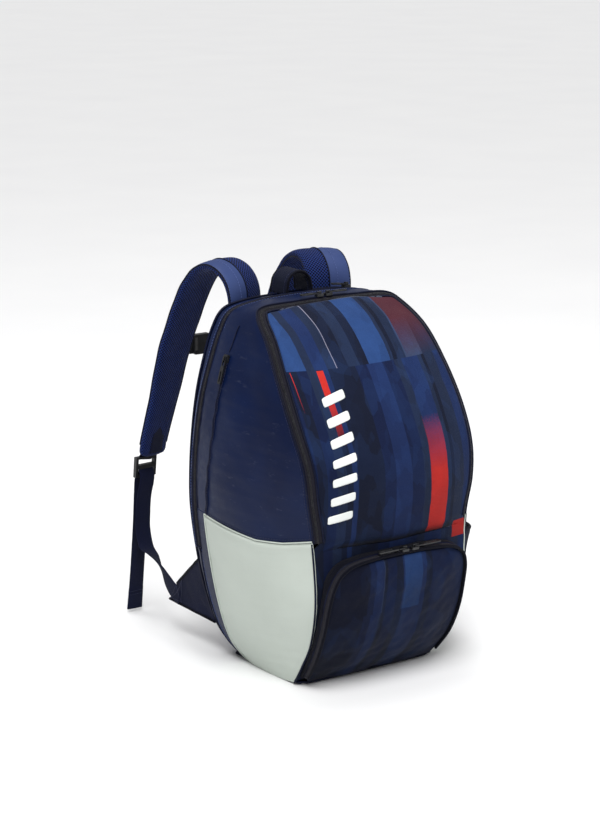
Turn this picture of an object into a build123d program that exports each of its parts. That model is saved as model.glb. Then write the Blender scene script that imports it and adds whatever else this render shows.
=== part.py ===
"""Racket backpack, built as sewn panels, zips, buckles and a shoulder harness.

Millimetres, +Z up. The origin is the centre of the flat base that the bag stands on.
The front face looks towards -Y, the back panel and the shoulder straps lie towards +Y.
"""
from build123d import *
from math import cos, radians, sin
import os

# ---- driving dimensions ---------------------------------------------------------------
BODY_HEIGHT = 489.0        # floor to the middle of the top
BACK_Y = 119.0             # inner face of the back panel
BASE_THICK = 3.0           # bottom panel, and the height at which the walls start
SEAM_Z = 207.0             # seam between the light lower panels and the upper panels
FOLD_Z = 212.0             # lowest row of the front panel, where it folds down
WALL = 2.0                 # coated fabric with its foam and lining
ZIP_WIDTH = 12.0           # both tapes of a closed zip
ZIP_GAP = 0.6              # clearance between the two tapes of the front zip
ZIP_HALF = 5.0             # from the middle of the rear zip to the panel sewn beside it
BOTTLE_POCKET_GAPS = [4, 10, 18, 24]   # how far the bottle pocket stands off, going up
SEWN_GAP = 1.0             # clearance left along a sewn edge
BACK_PADS_Y = 122.9         # where the pads lie on the back panel
STRAP_WIDTH = 62.0
STRAP_THICK = 12.0
WEBBING_WIDTH = 25.0
WEBBING_THICK = 1.8
HANDLE_WIDTH = 38.0
CLEAR = 0.35               # clearance between two bodies

# ---- outlines of the sewn shell, right-hand half, from the base up to the top centre -----
# Each station is one hoop of the shell: back seam, rear zip, front zip, and how far the
# side panel swells out between the two zips.
LOWER_STATIONS = [
    ((100, 98, 3), (110, 80, 3), (112, -46, 3), 4),
    ((118, 114, 30), (127, 97, 30), (113, -65, 30), 7),
    ((134, BACK_Y, 70), (143, 101, 70), (115, -89, 70), 10),
    ((150, BACK_Y, 130), (158, 101, 130), (119, -105, 130), 14),
    ((162, BACK_Y, SEAM_Z), (169, 100, SEAM_Z), (123, -103, SEAM_Z), 19),
]
UPPER_STATIONS = [
    ((162, BACK_Y, SEAM_Z), (169, 100, SEAM_Z), (123, -103, SEAM_Z), 19),
    ((163, BACK_Y, 262), (170, 100, 262), (132, -104, 258), 18),
    ((159, BACK_Y, 318), (165, 101, 316), (135, -98, 304), 15),
    ((152, BACK_Y, 366), (157, 101, 362), (137, -74, 352), 12),
    ((142, BACK_Y, 406), (146, 101, 400), (134, -41, 402), 8),
    ((128, BACK_Y, 447), (130, 100, 446), (127, -6, 446), 5),
    ((110, BACK_Y, 472), (113, 97, 474), (116, 33, 474), 3),
]
TOP_STATIONS = [
    ((110, BACK_Y, 472), (113, 97, 474), (116, 33, 474), 3),
    ((76, BACK_Y, 480), (78, 91, 484), (98, 47, 485), 1),
    ((38, BACK_Y, 482), (39, 85, 488), (48, 45, 488), 1),
    ((0, BACK_Y, 483), (0, 83, BODY_HEIGHT), (0, 45, BODY_HEIGHT), 1),
]
# Perimeter of the front pocket, right-hand half, from the base up to the top centre.
POCKET_STATIONS = [
    (108, -64, 14), (110, -89, 46), (110, -107, 85), (109, -118, 126), (106, -124, 149),
    (98, -127, 165), (80, -128, 175),
]
POCKET_TOP_Z = 180.0
POCKET_BULGE = 12.0
PANEL_BULGE = 17.0
SHELL_CENTRE = Vector(0, 0, 250)
PANEL_CENTRE = Vector(0, -75, 330)


def unit_between(start, end):
    return (end - start).normalized()


def mirrored(point):
    """The same point on the other side of the bag."""
    return Vector(-point.X, point.Y, point.Z)


def loft_outlines(outlines):
    """A solid through closed outlines with the same number of corners."""
    wires = [Wire.make_polygon(outline, close=True) for outline in outlines]
    return Solid.make_loft(wires, ruled=True)


def prism(outline, direction):
    """A straight solid from one closed outline."""
    return Solid.extrude(Face(Wire.make_polygon(outline, close=True)), Vector(*direction))


def box(low, high):
    """A plain block between two corners."""
    size = [b - a for a, b in zip(low, high)]
    middle = [(a + b) / 2 for a, b in zip(low, high)]
    return Pos(*middle) * Box(*size)


def strip_normal(rows, i, j):
    """Outward normal of a grid of points at row i, column j."""
    along = rows[min(i + 1, len(rows) - 1)][j] - rows[max(i - 1, 0)][j]
    across = rows[i][min(j + 1, len(rows[i]) - 1)] - rows[i][max(j - 1, 0)]
    normal = along.cross(across).normalized()
    outward = rows[i][j] - SHELL_CENTRE
    return normal if normal.dot(outward) > 0 else normal * -1


def thick_strip(rows, thickness):
    """A sheet through rows of points, given its thickness on the inner side."""
    outlines = []
    for i, row in enumerate(rows):
        plane = (row[-1] - row[0]).cross(row[len(row) // 2] - row[0])
        inner = []
        for j, point in enumerate(row):
            normal = strip_normal(rows, i, j)
            if plane.length > 1:
                axis = plane.normalized()
                normal = (normal - axis * normal.dot(axis)).normalized()
            inner.append(point - normal * thickness)
        outlines.append(row + inner[::-1])
    return loft_outlines(outlines)


def swelled(rear, front, bulge, steps, outward=0.0):
    """Points from the rear zip to the front zip, swelling away from the middle of the bag."""
    middle = (rear + front) * 0.5
    away = middle - Vector(0, middle.Y * 0.85, 250 + (middle.Z - 250) * 0.35)
    along = unit_between(rear, front)
    normal = (away - along * away.dot(along)).normalized()
    control = middle + normal * bulge * 2
    points = []
    for t in steps:
        point = rear * (1 - t) ** 2 + control * (2 * t * (1 - t)) + front * t ** 2
        points.append(point + normal * outward)
    return points


def stations(table, side):
    """Back seam, rear zip and front zip points of each hoop on one side, with its swell."""
    hoops = []
    for back, rear, front, bulge in table:
        points = [Vector(side * p[0], p[1], p[2]) for p in (back, rear, front)]
        hoops.append((*points, bulge))
    return hoops


def hoops_over_top():
    """The hoops of the top, from the left corner to the right corner."""
    left = stations(TOP_STATIONS, -1)
    right = stations(TOP_STATIONS[:-1], 1)
    return left + right[::-1]


def all_hoops():
    """The hoops of the upper shell, from the left seam over the top to the right seam."""
    left = stations(UPPER_STATIONS[:-1], -1)
    right = stations(UPPER_STATIONS[:-1], 1)
    return left + hoops_over_top() + right[::-1]


def side_sheet(hoops, thickness=WALL):
    """The sheet between the rear zip and the front zip over a list of hoops."""
    count = 6
    rows = []
    for _, rear, front, bulge in hoops:
        start = ZIP_HALF / (front - rear).length
        steps = [start + (1 - start) * k / count for k in range(count + 1)]
        rows.append(swelled(rear, front, bulge, steps))
    return thick_strip(rows, thickness)


def make_bottle_pocket():
    """Stretch pocket on the right-hand lower panel, standing off more towards its mouth."""
    hoops = stations(LOWER_STATIONS, 1)[1:]
    below, above = hoops[-2:]
    mouth = [low + (high - low) * 0.6 for low, high in zip(below, above)]
    hoops[-1] = mouth
    steps = [0.12 + 0.12 * k for k in range(7)]
    rows = []
    for (_, rear, front, bulge), gap in zip(hoops, BOTTLE_POCKET_GAPS):
        rows.append(swelled(rear, front, bulge, steps, gap))
    return thick_strip(rows, 1.4)


def gusset_sheet(hoops):
    """The sheet between the back seam and the rear zip over a list of hoops."""
    rows = []
    for back, rear, _, _ in hoops:
        reach = unit_between(back, rear)
        rows.append([back, (back + rear) * 0.5 + (rear - SHELL_CENTRE).normalized() * 1.5,
                     rear - reach * 5])
    return thick_strip(rows, WALL)


def rear_zip_tape(hoops):
    """The closed coil zip along the rear zip line."""
    outlines = []
    for k, (back, rear, front, _) in enumerate(hoops):
        across = unit_between(back, front)
        tangent = hoops[min(k + 1, len(hoops) - 1)][1] - hoops[max(k - 1, 0)][1]
        if k in (0, len(hoops) - 1):
            tangent = Vector(0, 0, 1)
        tangent = tangent.normalized()
        across = (across - tangent * across.dot(tangent)).normalized()
        inward = tangent.cross(across).normalized()
        if inward.dot(rear - SHELL_CENTRE) > 0:
            inward = inward * -1
        low = rear - across * 3.6
        high = rear + across * 3.6
        outlines.append([low, high, high + inward * 1.4, low + inward * 1.4])
    return loft_outlines(outlines)


# ---- the front zip: a bevel between the side panels and the front panel -------------------
def bevel_directions(hoops):
    """For each hoop: the direction across the front zip and its inward normal."""
    result = []
    for k, (_, rear, front, _) in enumerate(hoops):
        tangent = hoops[min(k + 1, len(hoops) - 1)][2] - hoops[max(k - 1, 0)][2]
        tangent = tangent.normalized()
        to_front = unit_between(rear, front)
        to_centre = unit_between(front, PANEL_CENTRE)
        to_front = (to_front - tangent * to_front.dot(tangent)).normalized()
        to_centre = (to_centre - tangent * to_centre.dot(tangent)).normalized()
        across = (to_front + to_centre).normalized()
        inward = tangent.cross(across).normalized()
        if inward.dot(front - SHELL_CENTRE) > 0:
            inward = inward * -1
        result.append((across, inward))
    return result


def front_zip_half(hoops, near, far):
    """One tape of the front zip, between two distances from the edge of the side panels."""
    outlines = []
    for (_, _, front, _), (across, inward) in zip(hoops, bevel_directions(hoops)):
        low = front + across * near
        high = front + across * far
        outlines.append([low, high, high + inward * 1.4, low + inward * 1.4])
    return loft_outlines(outlines)


def panel_edge(hoops):
    """The points along which the front panel meets its zip tape."""
    edge = []
    for (_, _, front, _), (across, _) in zip(hoops, bevel_directions(hoops)):
        edge.append(front + across * (ZIP_WIDTH + 2 * SEWN_GAP))
    return edge


def crowned_row(edge_point, direction, crown, thickness):
    """A closed outline across the bag: crowned outside, and as far inside as the thickness."""
    fractions = [-1, -0.85, -0.5, 0, 0.5, 0.85, 1]
    outer = []
    for f in fractions:
        rise = direction * crown * (1 - f * f)
        outer.append(Vector(edge_point.X * f, edge_point.Y, edge_point.Z) + rise)
    inner = [p - direction * thickness for p in outer]
    return outer + inner[::-1]


def profile_normal(before, after):
    """Outward normal of the front profile between two of its points, in the YZ plane."""
    run = after - before
    return Vector(0, -run.Z, run.Y).normalized()


def make_front_panel():
    hoops = all_hoops()
    right_edge = panel_edge(hoops)[len(hoops) // 2:][::-1]
    # the row at the fold, then the rows up the side, then the top row
    rows = [p for p in right_edge if p.X > 60]
    first = Vector(rows[0].X, rows[0].Y, FOLD_Z)
    rows[0] = first
    crowns = [6, PANEL_BULGE, PANEL_BULGE, PANEL_BULGE, PANEL_BULGE, 14, 10, 5]
    outlines = []
    for k, point in enumerate(rows):
        if k in (0, len(rows) - 1):
            direction = Vector(0, -1, 0) if k == 0 else Vector(0, 0, 1)
        else:
            direction = profile_normal(rows[k - 1], rows[k + 1])
        outlines.append(crowned_row(point, direction, crowns[k], WALL))
    return loft_outlines(outlines)


# ---- front pocket -----------------------------------------------------------------------
def pocket_points():
    return [Vector(*p) for p in POCKET_STATIONS]


def make_pocket_flap():
    points = pocket_points()
    crowns = [3, 9, POCKET_BULGE, POCKET_BULGE, 10, 7, 4]
    outlines = []
    for k, point in enumerate(points):
        if k in (0, len(points) - 1):
            direction = Vector(0, -1, 0) if k == 0 else Vector(0, 0, 1)
        else:
            direction = profile_normal(points[k - 1], points[k + 1])
        inset = Vector(point.X - 1, point.Y, point.Z)
        outlines.append(crowned_row(inset, direction, crowns[k], WALL))
    return loft_outlines(outlines)


def front_wall_y(z):
    """The sloping wall behind the pocket, at height z."""
    fronts = [station[2] for station in LOWER_STATIONS]
    low, high = [pair for pair in zip(fronts, fronts[1:]) if z >= pair[0][2]][-1]
    share = (z - low[2]) / (high[2] - low[2])
    return low[1] + (high[1] - low[1]) * share


def make_pocket_gusset():
    """The band that joins the pocket's face to the wall behind it, up one side, over, and down."""
    half = [Vector(108, -58, 4)] + pocket_points()
    half += [Vector(45, -128, POCKET_TOP_Z - 1), Vector(0, -128, POCKET_TOP_Z)]
    path = [mirrored(p) for p in half] + half[-2::-1]
    outlines = []
    for k, point in enumerate(path):
        tangent = path[min(k + 1, len(path) - 1)] - path[max(k - 1, 0)]
        outward = Vector(0, 1, 0).cross(tangent).normalized()
        if outward.dot(point - Vector(0, -80, 90)) < 0:
            outward = outward * -1
        if k in (0, len(path) - 1):
            outward = Vector(1 if point.X > 0 else -1, 0, 0)
        front = point + outward * 3 + Vector(0, 2, 0)
        wall = Vector(front.X, front_wall_y(front.Z) - WALL - 3.5 * SEWN_GAP, front.Z)
        inset = outward * -1.5
        outlines.append([front, wall, wall + inset, front + inset])
    return loft_outlines(outlines)


def make_front_wall():
    """The wall behind the pocket, up to the seam where the front panel folds."""
    outlines = []
    for _, _, front, _ in LOWER_STATIONS:
        x, y, z = front
        outlines.append([Vector(-x, y, z), Vector(x, y, z),
                         Vector(x, y - WALL, z), Vector(-x, y - WALL, z)])
    return loft_outlines(outlines)


# ---- flat inner panels --------------------------------------------------------------------
def back_outline(inset, bottom_z=BASE_THICK):
    """The back seam as a closed outline in the XZ plane, drawn in by a distance."""
    half = [p[0] for p in LOWER_STATIONS] + [p[0] for p in UPPER_STATIONS[1:]]
    half += [p[0] for p in TOP_STATIONS[1:]]
    right = []
    for x, _, z in half:
        new_z = min(max(z, bottom_z + inset), BODY_HEIGHT - 8 - inset)
        right.append((max(x - inset, 0), new_z))
    left = [(-x, z) for x, z in right[-2::-1]]
    return right + left


def upright_plate(outline, y_low, y_high):
    return prism([Vector(x, y_low, z) for x, z in outline], (0, y_high - y_low, 0))


def make_back_panel():
    return upright_plate(back_outline(0), BACK_Y, BACK_Y + 3.5)


def make_divider():
    """Padded wall between the racket compartment and the main compartment."""
    outlines = []
    for half_width, y, z in [(104, 76, 8), (136, 88, 80), (152, 90, 207), (153, 90, 300),
                             (142, 88, 370), (122, 82, 430), (96, 76, 462)]:
        outlines.append([Vector(-half_width, y, z), Vector(half_width, y, z),
                         Vector(half_width, y - 4, z), Vector(-half_width, y - 4, z)])
    return loft_outlines(outlines)


def base_outline(inset):
    half = [(112 - inset, -46 + inset), (110 - inset, 80 - inset / 2), (100 - inset, 98 - inset)]
    return half + [(-x, y) for x, y in half[::-1]]


def make_base():
    return prism([Vector(x, y, 0) for x, y in base_outline(0)], (0, 0, BASE_THICK - 0.05))


def make_base_board():
    return prism([Vector(x, y, 4) for x, y in base_outline(12)], (0, 0, 3))


def make_pocket_floor():
    outline = [(-98, -59), (98, -59), (110, -47), (-110, -47)]
    return prism([Vector(x, y, 0) for x, y in outline], (0, 0, BASE_THICK - 0.1))


def rounded_pad(x_low, x_high, z_low, z_high, y_low, y_high, corner):
    """A foam pad on the back: a block with rounded corners and a softened rear edge."""
    pad = box((x_low, y_low, z_low), (x_high, y_high, z_high))
    pad = fillet(pad.edges().filter_by(Axis.Y), corner)
    return fillet(pad.faces().sort_by(Axis.Y)[-1].edges(), 5)


# ---- harness ----------------------------------------------------------------------------
STRAP_TILT = 15.0          # how far the width of the straps turns towards the arms
WEBBING_TILT = 5.0
STRAP_LINE = [
    (-64, 139, 471), (-65, 141, 490), (-67, 149, 506), (-70, 165, 517.5), (-73, 186, 520),
    (-76, 208, 511), (-79, 229, 490), (-82, 246, 461), (-87, 263, 421), (-92, 276, 382),
    (-100, 291, 315), (-106, 301, 272), (-108.5, 305, 252), (-110, 307, 237),
]
WEBBING_LINE = [(-115.5, 311.5, 205), (-117, 311.3, 193), (-119.5, 312.5, 180), (-121, 313.5, 168)]
LOWER_WEBBING_LINE = [(-122, 314, 160), (-124, 311, 126), (-126, 299, 105), (-128, 278, 97),
                      (-130, 254, 85), (-132, 234, 72), (-133, 217, 62)]
LOWER_WEBBING_TWIST = [0, 0, 15, 40, 65, 85, 90]
TAIL_LINE = [(-117, 323.5, 199), (-118, 324, 180), (-120, 325, 140), (-122, 328, 95),
             (-124, 332, 45), (-125, 336.5, 3)]


def band(line, side, width, thickness, tilt=STRAP_TILT, twists=None):
    """A flat band along a line of points; its width stays level unless it is twisted."""
    points = [Vector(-side * x, y, z) for x, y, z in line]
    level = Vector(cos(radians(tilt)), -side * sin(radians(tilt)), 0)
    outlines = []
    for k, point in enumerate(points):
        tangent = (points[min(k + 1, len(points) - 1)] - points[max(k - 1, 0)]).normalized()
        turn = radians(twists[k]) if twists else 0
        upright = tangent.cross(level).normalized()
        wide = level * cos(turn) + upright * side * sin(turn)
        thick = tangent.cross(wide).normalized()
        half_w = wide * (width / 2)
        half_t = thick * (thickness / 2)
        outlines.append([point - half_w - half_t, point + half_w - half_t,
                         point + half_w + half_t, point - half_w + half_t])
    return loft_outlines(outlines)


WING_ROOT = [(127, 123, 43), (152, 123, 137)]    # lower and upper corner, sewn into the back seam
WING_TIP = [(133, 225, 50), (133, 206, 76)]      # lower and upper corner, where the webbing starts


def make_anchor_wing(side):
    """The sewn triangle of fabric that holds the lower end of the webbing."""
    outlines = []
    for low, high in (WING_ROOT, WING_TIP):
        corners = [Vector(side * x, y, z) for x, y, z in (low, high)]
        half = Vector(1.2, 0, 0)
        outlines.append([corners[0] - half, corners[0] + half,
                         corners[1] + half, corners[1] - half])
    return loft_outlines(outlines)


LOCK_CENTRE = Vector(-116, 316.5, 217.5)


def harness_frame(centre, side):
    """The plane of the strap at a buckle: X across the strap, Y out of it, Z along it."""
    wide = Vector(cos(radians(WEBBING_TILT)), -side * sin(radians(WEBBING_TILT)), 0)
    down = Vector(side * 0.12, 0.1, -0.98).normalized()
    down = (down - wide * down.dot(wide)).normalized()
    origin = Vector(-side * centre.X, centre.Y, centre.Z)
    return Plane(origin=origin, x_dir=wide, z_dir=down * -1)


def make_ladder_lock(side):
    """Three-bar buckle that the webbing threads through."""
    frame = harness_frame(LOCK_CENTRE, side)
    width = WEBBING_WIDTH + 10
    lock = Pos(0, 0, 0) * Box(width, 6, 30)
    for z in (-7.5, 7.5):
        lock -= Pos(0, 0, z) * Box(WEBBING_WIDTH + 2, 8, 9)
    lock += Pos(0, 2.5, -13.5) * Box(width - 6, 5, 3)
    return frame * lock


STERNUM_Z = 388.0
STERNUM_Y = 291.0
STERNUM_HALF = 56.0
BUCKLE_LEFT = -52.0
BUCKLE_LENGTH = 30.0
PLUG_LENGTH = 26.0


def make_sternum_female():
    """Socket half of the chest buckle: a flat shell open towards the other half."""
    x0 = BUCKLE_LEFT
    x1 = BUCKLE_LEFT + BUCKLE_LENGTH
    shell = box((x0, STERNUM_Y - 5, STERNUM_Z - 14), (x1, STERNUM_Y + 5, STERNUM_Z + 14))
    shell = fillet(shell.edges().filter_by(Axis.Y), 4)
    socket = box((x0 + 10, STERNUM_Y - 3, STERNUM_Z - 10), (x1 + 1, STERNUM_Y + 3, STERNUM_Z + 10))
    webbing_slot = box((x0 + 3, STERNUM_Y - 6, STERNUM_Z - 10.5),
                       (x0 + 7, STERNUM_Y + 6, STERNUM_Z + 10.5))
    return shell - socket - webbing_slot


def make_sternum_male():
    """Plug half: a bar with a slot for the webbing and three prongs."""
    x1 = BUCKLE_LEFT + BUCKLE_LENGTH
    x2 = x1 + PLUG_LENGTH
    body = box((x1 + CLEAR, STERNUM_Y - 4.5, STERNUM_Z - 13), (x2, STERNUM_Y + 4.5, STERNUM_Z + 13))
    body = fillet(body.edges().filter_by(Axis.Y), 3)
    body -= box((x1 + 5, STERNUM_Y - 1.6, STERNUM_Z - 10.6),
                (x2 + 1, STERNUM_Y + 1.6, STERNUM_Z + 10.6))
    for z in (-7.2, 0, 7.2):
        body += box((x1 - 18, STERNUM_Y - 2, STERNUM_Z + z - 1.5),
                    (x1 + 2, STERNUM_Y + 2, STERNUM_Z + z + 1.5))
    return body


def make_sternum_webbing():
    """Chest webbing from the plug half to the right shoulder strap."""
    x1 = BUCKLE_LEFT + BUCKLE_LENGTH
    return box((x1 + PLUG_LENGTH - 1, STERNUM_Y - 0.9, STERNUM_Z - 10),
               (STERNUM_HALF, STERNUM_Y + 0.9, STERNUM_Z + 10))


def make_sternum_clip(side):
    """Clip that holds the chest strap to the inner edge of a shoulder strap."""
    if side > 0:
        x_low = STERNUM_HALF + CLEAR
        x_high = STERNUM_HALF + 3
    else:
        x_low = -STERNUM_HALF - 3
        x_high = BUCKLE_LEFT - CLEAR
    return box((x_low, STERNUM_Y - 4, STERNUM_Z - 12), (x_high, STERNUM_Y + 4, STERNUM_Z + 12))


# ---- grab handle ---------------------------------------------------------------------------
HANDLE_X = -3.0
HANDLE_Y = 118.0
HANDLE_HALF_SPAN = 19.0
HANDLE_FOOT_Z = 490.0
HANDLE_RISE = 27.0


def make_grab_handle():
    """A loop of doubled webbing: two legs and a round top, as wide as the band along Y."""
    outer = Pos(HANDLE_X, HANDLE_Y, HANDLE_FOOT_Z + HANDLE_RISE / 2) * Box(
        2 * HANDLE_HALF_SPAN + 3, HANDLE_WIDTH, HANDLE_RISE)
    outer = fillet(outer.edges().filter_by(Axis.Y).group_by(Axis.Z)[-1], 17)
    inner = Pos(HANDLE_X, HANDLE_Y, HANDLE_FOOT_Z + HANDLE_RISE / 2 - 3) * Box(
        2 * HANDLE_HALF_SPAN - 3, HANDLE_WIDTH + 2, HANDLE_RISE)
    inner = fillet(inner.edges().filter_by(Axis.Y).group_by(Axis.Z)[-1], 15)
    return outer - inner


# ---- zip sliders and pullers ------------------------------------------------------------------
SLIDER_LENGTH = 11.0
SLIDER_WIDTH = 9.0
SLIDER_HEIGHT = 3.4
PULLER_WIDTH = 7.0
PULLER_THICK = 2.0


def slider_plane(point, along, outward):
    """Local frame of a slider: X along the zip, Z away from the fabric."""
    along = Vector(*along).normalized()
    outward = Vector(*outward).normalized()
    outward = (outward - along * outward.dot(along)).normalized()
    return Plane(origin=Vector(*point), x_dir=along, z_dir=outward)


def make_slider():
    """Slider body with the bridge that holds its puller; X points away from the puller."""
    body = Pos(0, 0, SLIDER_HEIGHT / 2) * Box(SLIDER_LENGTH, SLIDER_WIDTH, SLIDER_HEIGHT)
    body = fillet(body.edges().filter_by(Axis.Z), 2)
    bridge = Pos(0, 0, SLIDER_HEIGHT + 1.6) * Box(6, 2.6, 3.2)
    window = Pos(0, 0, SLIDER_HEIGHT + 0.9) * Box(3.4, 4, 1.8)
    return body + bridge - window


def make_puller(length):
    """Puller: a thin link through the bridge and a long moulded loop."""
    z = SLIDER_HEIGHT + 0.95
    link = Pos(0, 0, z) * Box(1.2, 6.4, 1.2)
    arms = Pos(-5, 0, z) * (Box(11.2, 6.4, 1.2) - Box(9.0, 4.0, 2))
    grip = Pos(-length / 2 - 5, 0, z) * Box(length - 10, PULLER_WIDTH, PULLER_THICK)
    grip = fillet(grip.edges().filter_by(Axis.Z), 3)
    slot = Pos(-length / 2 - 7, 0, z) * Box(length - 20, 2.6, 4)
    return link + arms + (grip - slot)


SLIDERS = {
    # name: place on the zip, direction away from the puller, outward direction, puller length
    "main_left": ((-9, 45.5, 490.2), (1, 0, 0), (0, 0, 1), 30),
    "main_right": ((5, 45.5, 490.2), (-1, 0, 0), (0, 0, 1), 30),
    "rear_left": ((66, 89, 488.3), (1, 0.1, -0.1), (0.1, 0, 1), 26),
    "rear_right": ((132.5, 100, 448), (-0.4, 0, 0.92), (0.92, 0, 0.4), 26),
    "pocket_left": ((2, -129, 183.4), (1, 0, 0), (0, -0.1, 1), 42),
    "pocket_right": ((18, -129, 183.4), (-1, 0, 0), (0, -0.1, 1), 42),
    "side": ((-144.2, 60, 420), (0.27, 0, 0.963), (-0.963, 0, 0.27), 34),
}


def add_slider(parts, name):
    point, along, outward, length = SLIDERS[name]
    plane = slider_plane(point, along, outward)
    parts[name + "_slider"] = plane * make_slider()
    parts[name + "_puller"] = plane * make_puller(length)


# ---- racket port: where the rear zip stands open at the top right ------------------------------
PORT_LOW = (78, 80, 440)
PORT_HIGH = (122, 112, 500)


def build_parts():
    parts = {}
    for side, label in ((-1, "left"), (1, "right")):
        lower = stations(LOWER_STATIONS, side)
        upper = stations(UPPER_STATIONS, side)
        parts["lower_panel_" + label] = side_sheet(lower)
        parts["side_panel_" + label] = side_sheet(upper)
        parts["rear_gusset_" + label] = gusset_sheet(lower + upper[1:])
        parts["shoulder_strap_" + label] = band(STRAP_LINE, side, STRAP_WIDTH, STRAP_THICK)
        parts["ladder_lock_" + label] = make_ladder_lock(side)
        parts["strap_webbing_" + label] = band(
            WEBBING_LINE, side, WEBBING_WIDTH, WEBBING_THICK, WEBBING_TILT)
        parts["lower_webbing_" + label] = band(
            LOWER_WEBBING_LINE, side, WEBBING_WIDTH, WEBBING_THICK, WEBBING_TILT,
            LOWER_WEBBING_TWIST)
        parts["webbing_tail_" + label] = band(TAIL_LINE, side, WEBBING_WIDTH, WEBBING_THICK, 0)
        parts["anchor_wing_" + label] = make_anchor_wing(side)
        parts["sternum_clip_" + label] = make_sternum_clip(side)
        x_low, x_high = sorted((side * 20, side * 104))
        parts["back_pad_" + label] = rounded_pad(x_low, x_high, 150, 415, BACK_PADS_Y, 136, 22)
    port = box(PORT_LOW, PORT_HIGH)
    parts["rear_gusset_right"] -= port
    parts["top_panel"] = side_sheet(hoops_over_top(), thickness=1.5)
    parts["rear_gusset_top"] = gusset_sheet(hoops_over_top()) - port
    parts["rear_zip"] = rear_zip_tape(all_hoops()) - port
    parts["front_zip_bag"] = front_zip_half(all_hoops(), SEWN_GAP, ZIP_WIDTH / 2 - ZIP_GAP / 2)
    parts["front_zip_panel"] = front_zip_half(all_hoops(), ZIP_WIDTH / 2 + ZIP_GAP / 2, ZIP_WIDTH)
    parts["front_panel"] = make_front_panel()
    parts["front_wall"] = make_front_wall()
    parts["pocket_flap"] = make_pocket_flap()
    parts["pocket_gusset"] = make_pocket_gusset()
    parts["pocket_floor"] = make_pocket_floor()
    parts["base_panel"] = make_base()
    parts["base_board"] = make_base_board()
    parts["back_panel"] = make_back_panel()
    parts["back_board"] = upright_plate(back_outline(14, 30), BACK_Y - 4, BACK_Y - 1.6)
    parts["divider_panel"] = make_divider()
    parts["lumbar_pad"] = rounded_pad(-100, 100, 62, 138, BACK_PADS_Y, 134, 20)
    parts["strap_yoke"] = rounded_pad(-112, 112, 428, 460, BACK_PADS_Y, 130.5, 8)
    parts["grab_handle"] = make_grab_handle()
    parts["sternum_webbing"] = make_sternum_webbing()
    parts["sternum_socket"] = make_sternum_female()
    parts["sternum_plug"] = make_sternum_male()
    parts["bottle_pocket_right"] = make_bottle_pocket()
    for name in SLIDERS:
        add_slider(parts, name)
    return parts


def write_parts():
    os.makedirs("parts", exist_ok=True)
    for name, part in build_parts().items():
        export_step(part, f"parts/{name}.step")


write_parts()
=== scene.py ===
"""Racket backpack: sewn shell, zips, harness and hardware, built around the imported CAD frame.

Metres, +Z up. The front faces -Y, the back panel and the shoulder straps lie towards +Y.
Outline tables are in millimetres and are scaled once, by MM.
"""
import math
import bpy
import numpy as np
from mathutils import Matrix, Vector


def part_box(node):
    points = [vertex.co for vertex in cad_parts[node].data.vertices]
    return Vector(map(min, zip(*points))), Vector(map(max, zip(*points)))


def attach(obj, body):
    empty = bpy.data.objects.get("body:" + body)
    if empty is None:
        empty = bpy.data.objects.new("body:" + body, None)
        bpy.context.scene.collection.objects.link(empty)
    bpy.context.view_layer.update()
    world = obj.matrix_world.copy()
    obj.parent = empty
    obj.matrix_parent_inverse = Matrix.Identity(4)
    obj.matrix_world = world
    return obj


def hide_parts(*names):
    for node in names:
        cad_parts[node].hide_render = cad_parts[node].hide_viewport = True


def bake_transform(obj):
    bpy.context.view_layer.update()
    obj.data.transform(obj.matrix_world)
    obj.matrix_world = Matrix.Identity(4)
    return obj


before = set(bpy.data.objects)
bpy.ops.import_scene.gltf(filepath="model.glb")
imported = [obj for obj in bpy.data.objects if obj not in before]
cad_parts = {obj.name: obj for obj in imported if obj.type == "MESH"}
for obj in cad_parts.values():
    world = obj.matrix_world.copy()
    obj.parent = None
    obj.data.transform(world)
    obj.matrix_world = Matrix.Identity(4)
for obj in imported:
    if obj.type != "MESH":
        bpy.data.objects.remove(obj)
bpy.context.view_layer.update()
MM = 0.001

# ---- outlines of the sewn shell, right-hand half, in millimetres ----
# Each hoop: back seam, rear zip, front zip, and how far the side swells between the zips.
HOOPS = [
    ((100, 98, 3), (110, 80, 3), (112, -46, 3), 4),
    ((118, 114, 30), (127, 97, 30), (113, -65, 30), 7),
    ((134, 119, 70), (143, 101, 70), (115, -89, 70), 10),
    ((150, 119, 130), (158, 101, 130), (119, -105, 130), 14),
    ((162, 119, 207), (169, 100, 207), (123, -103, 207), 19),
    ((163, 119, 262), (170, 100, 262), (132, -104, 258), 18),
    ((159, 119, 318), (165, 101, 316), (135, -98, 304), 15),
    ((152, 119, 366), (157, 101, 362), (137, -74, 352), 12),
    ((142, 119, 406), (146, 101, 400), (134, -41, 402), 8),
    ((128, 119, 447), (130, 100, 446), (127, -6, 446), 5),
    ((110, 119, 472), (113, 97, 474), (116, 33, 474), 3),
    ((76, 119, 480), (78, 91, 484), (98, 47, 485), 1),
    ((38, 119, 482), (39, 85, 488), (48, 45, 488), 1),
    ((0, 119, 483), (0, 83, 489), (0, 45, 489), 1),
]
SEAM_U = 4.0               # hoop of the seam between the light and the navy panels
TOP_U = 13.0               # hoop of the top centre; the far side runs on to FAR_U
FAR_U = 26.0
ZIP_END_U = 3.4            # lower ends of the rear zip
PORT_U = (14.75, 16.95)    # open stretch of the rear zip, between its two sliders
PORT_GAP = 13 * MM
SHELL_CENTRE = np.array([0, 0, 250]) * MM
PANEL_CENTRE = np.array([0, -75, 330]) * MM
PANEL_EDGE = 14.0 * MM     # from the side panel's edge to the front panel's edge
FOLD_Z = 212 * MM


# ---- small geometry helpers ----
def unit(v):
    return v / np.maximum(np.linalg.norm(v, axis=-1, keepdims=True), 1e-9)


def dot(a, b):
    return np.sum(a * b, axis=-1, keepdims=True)


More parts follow.
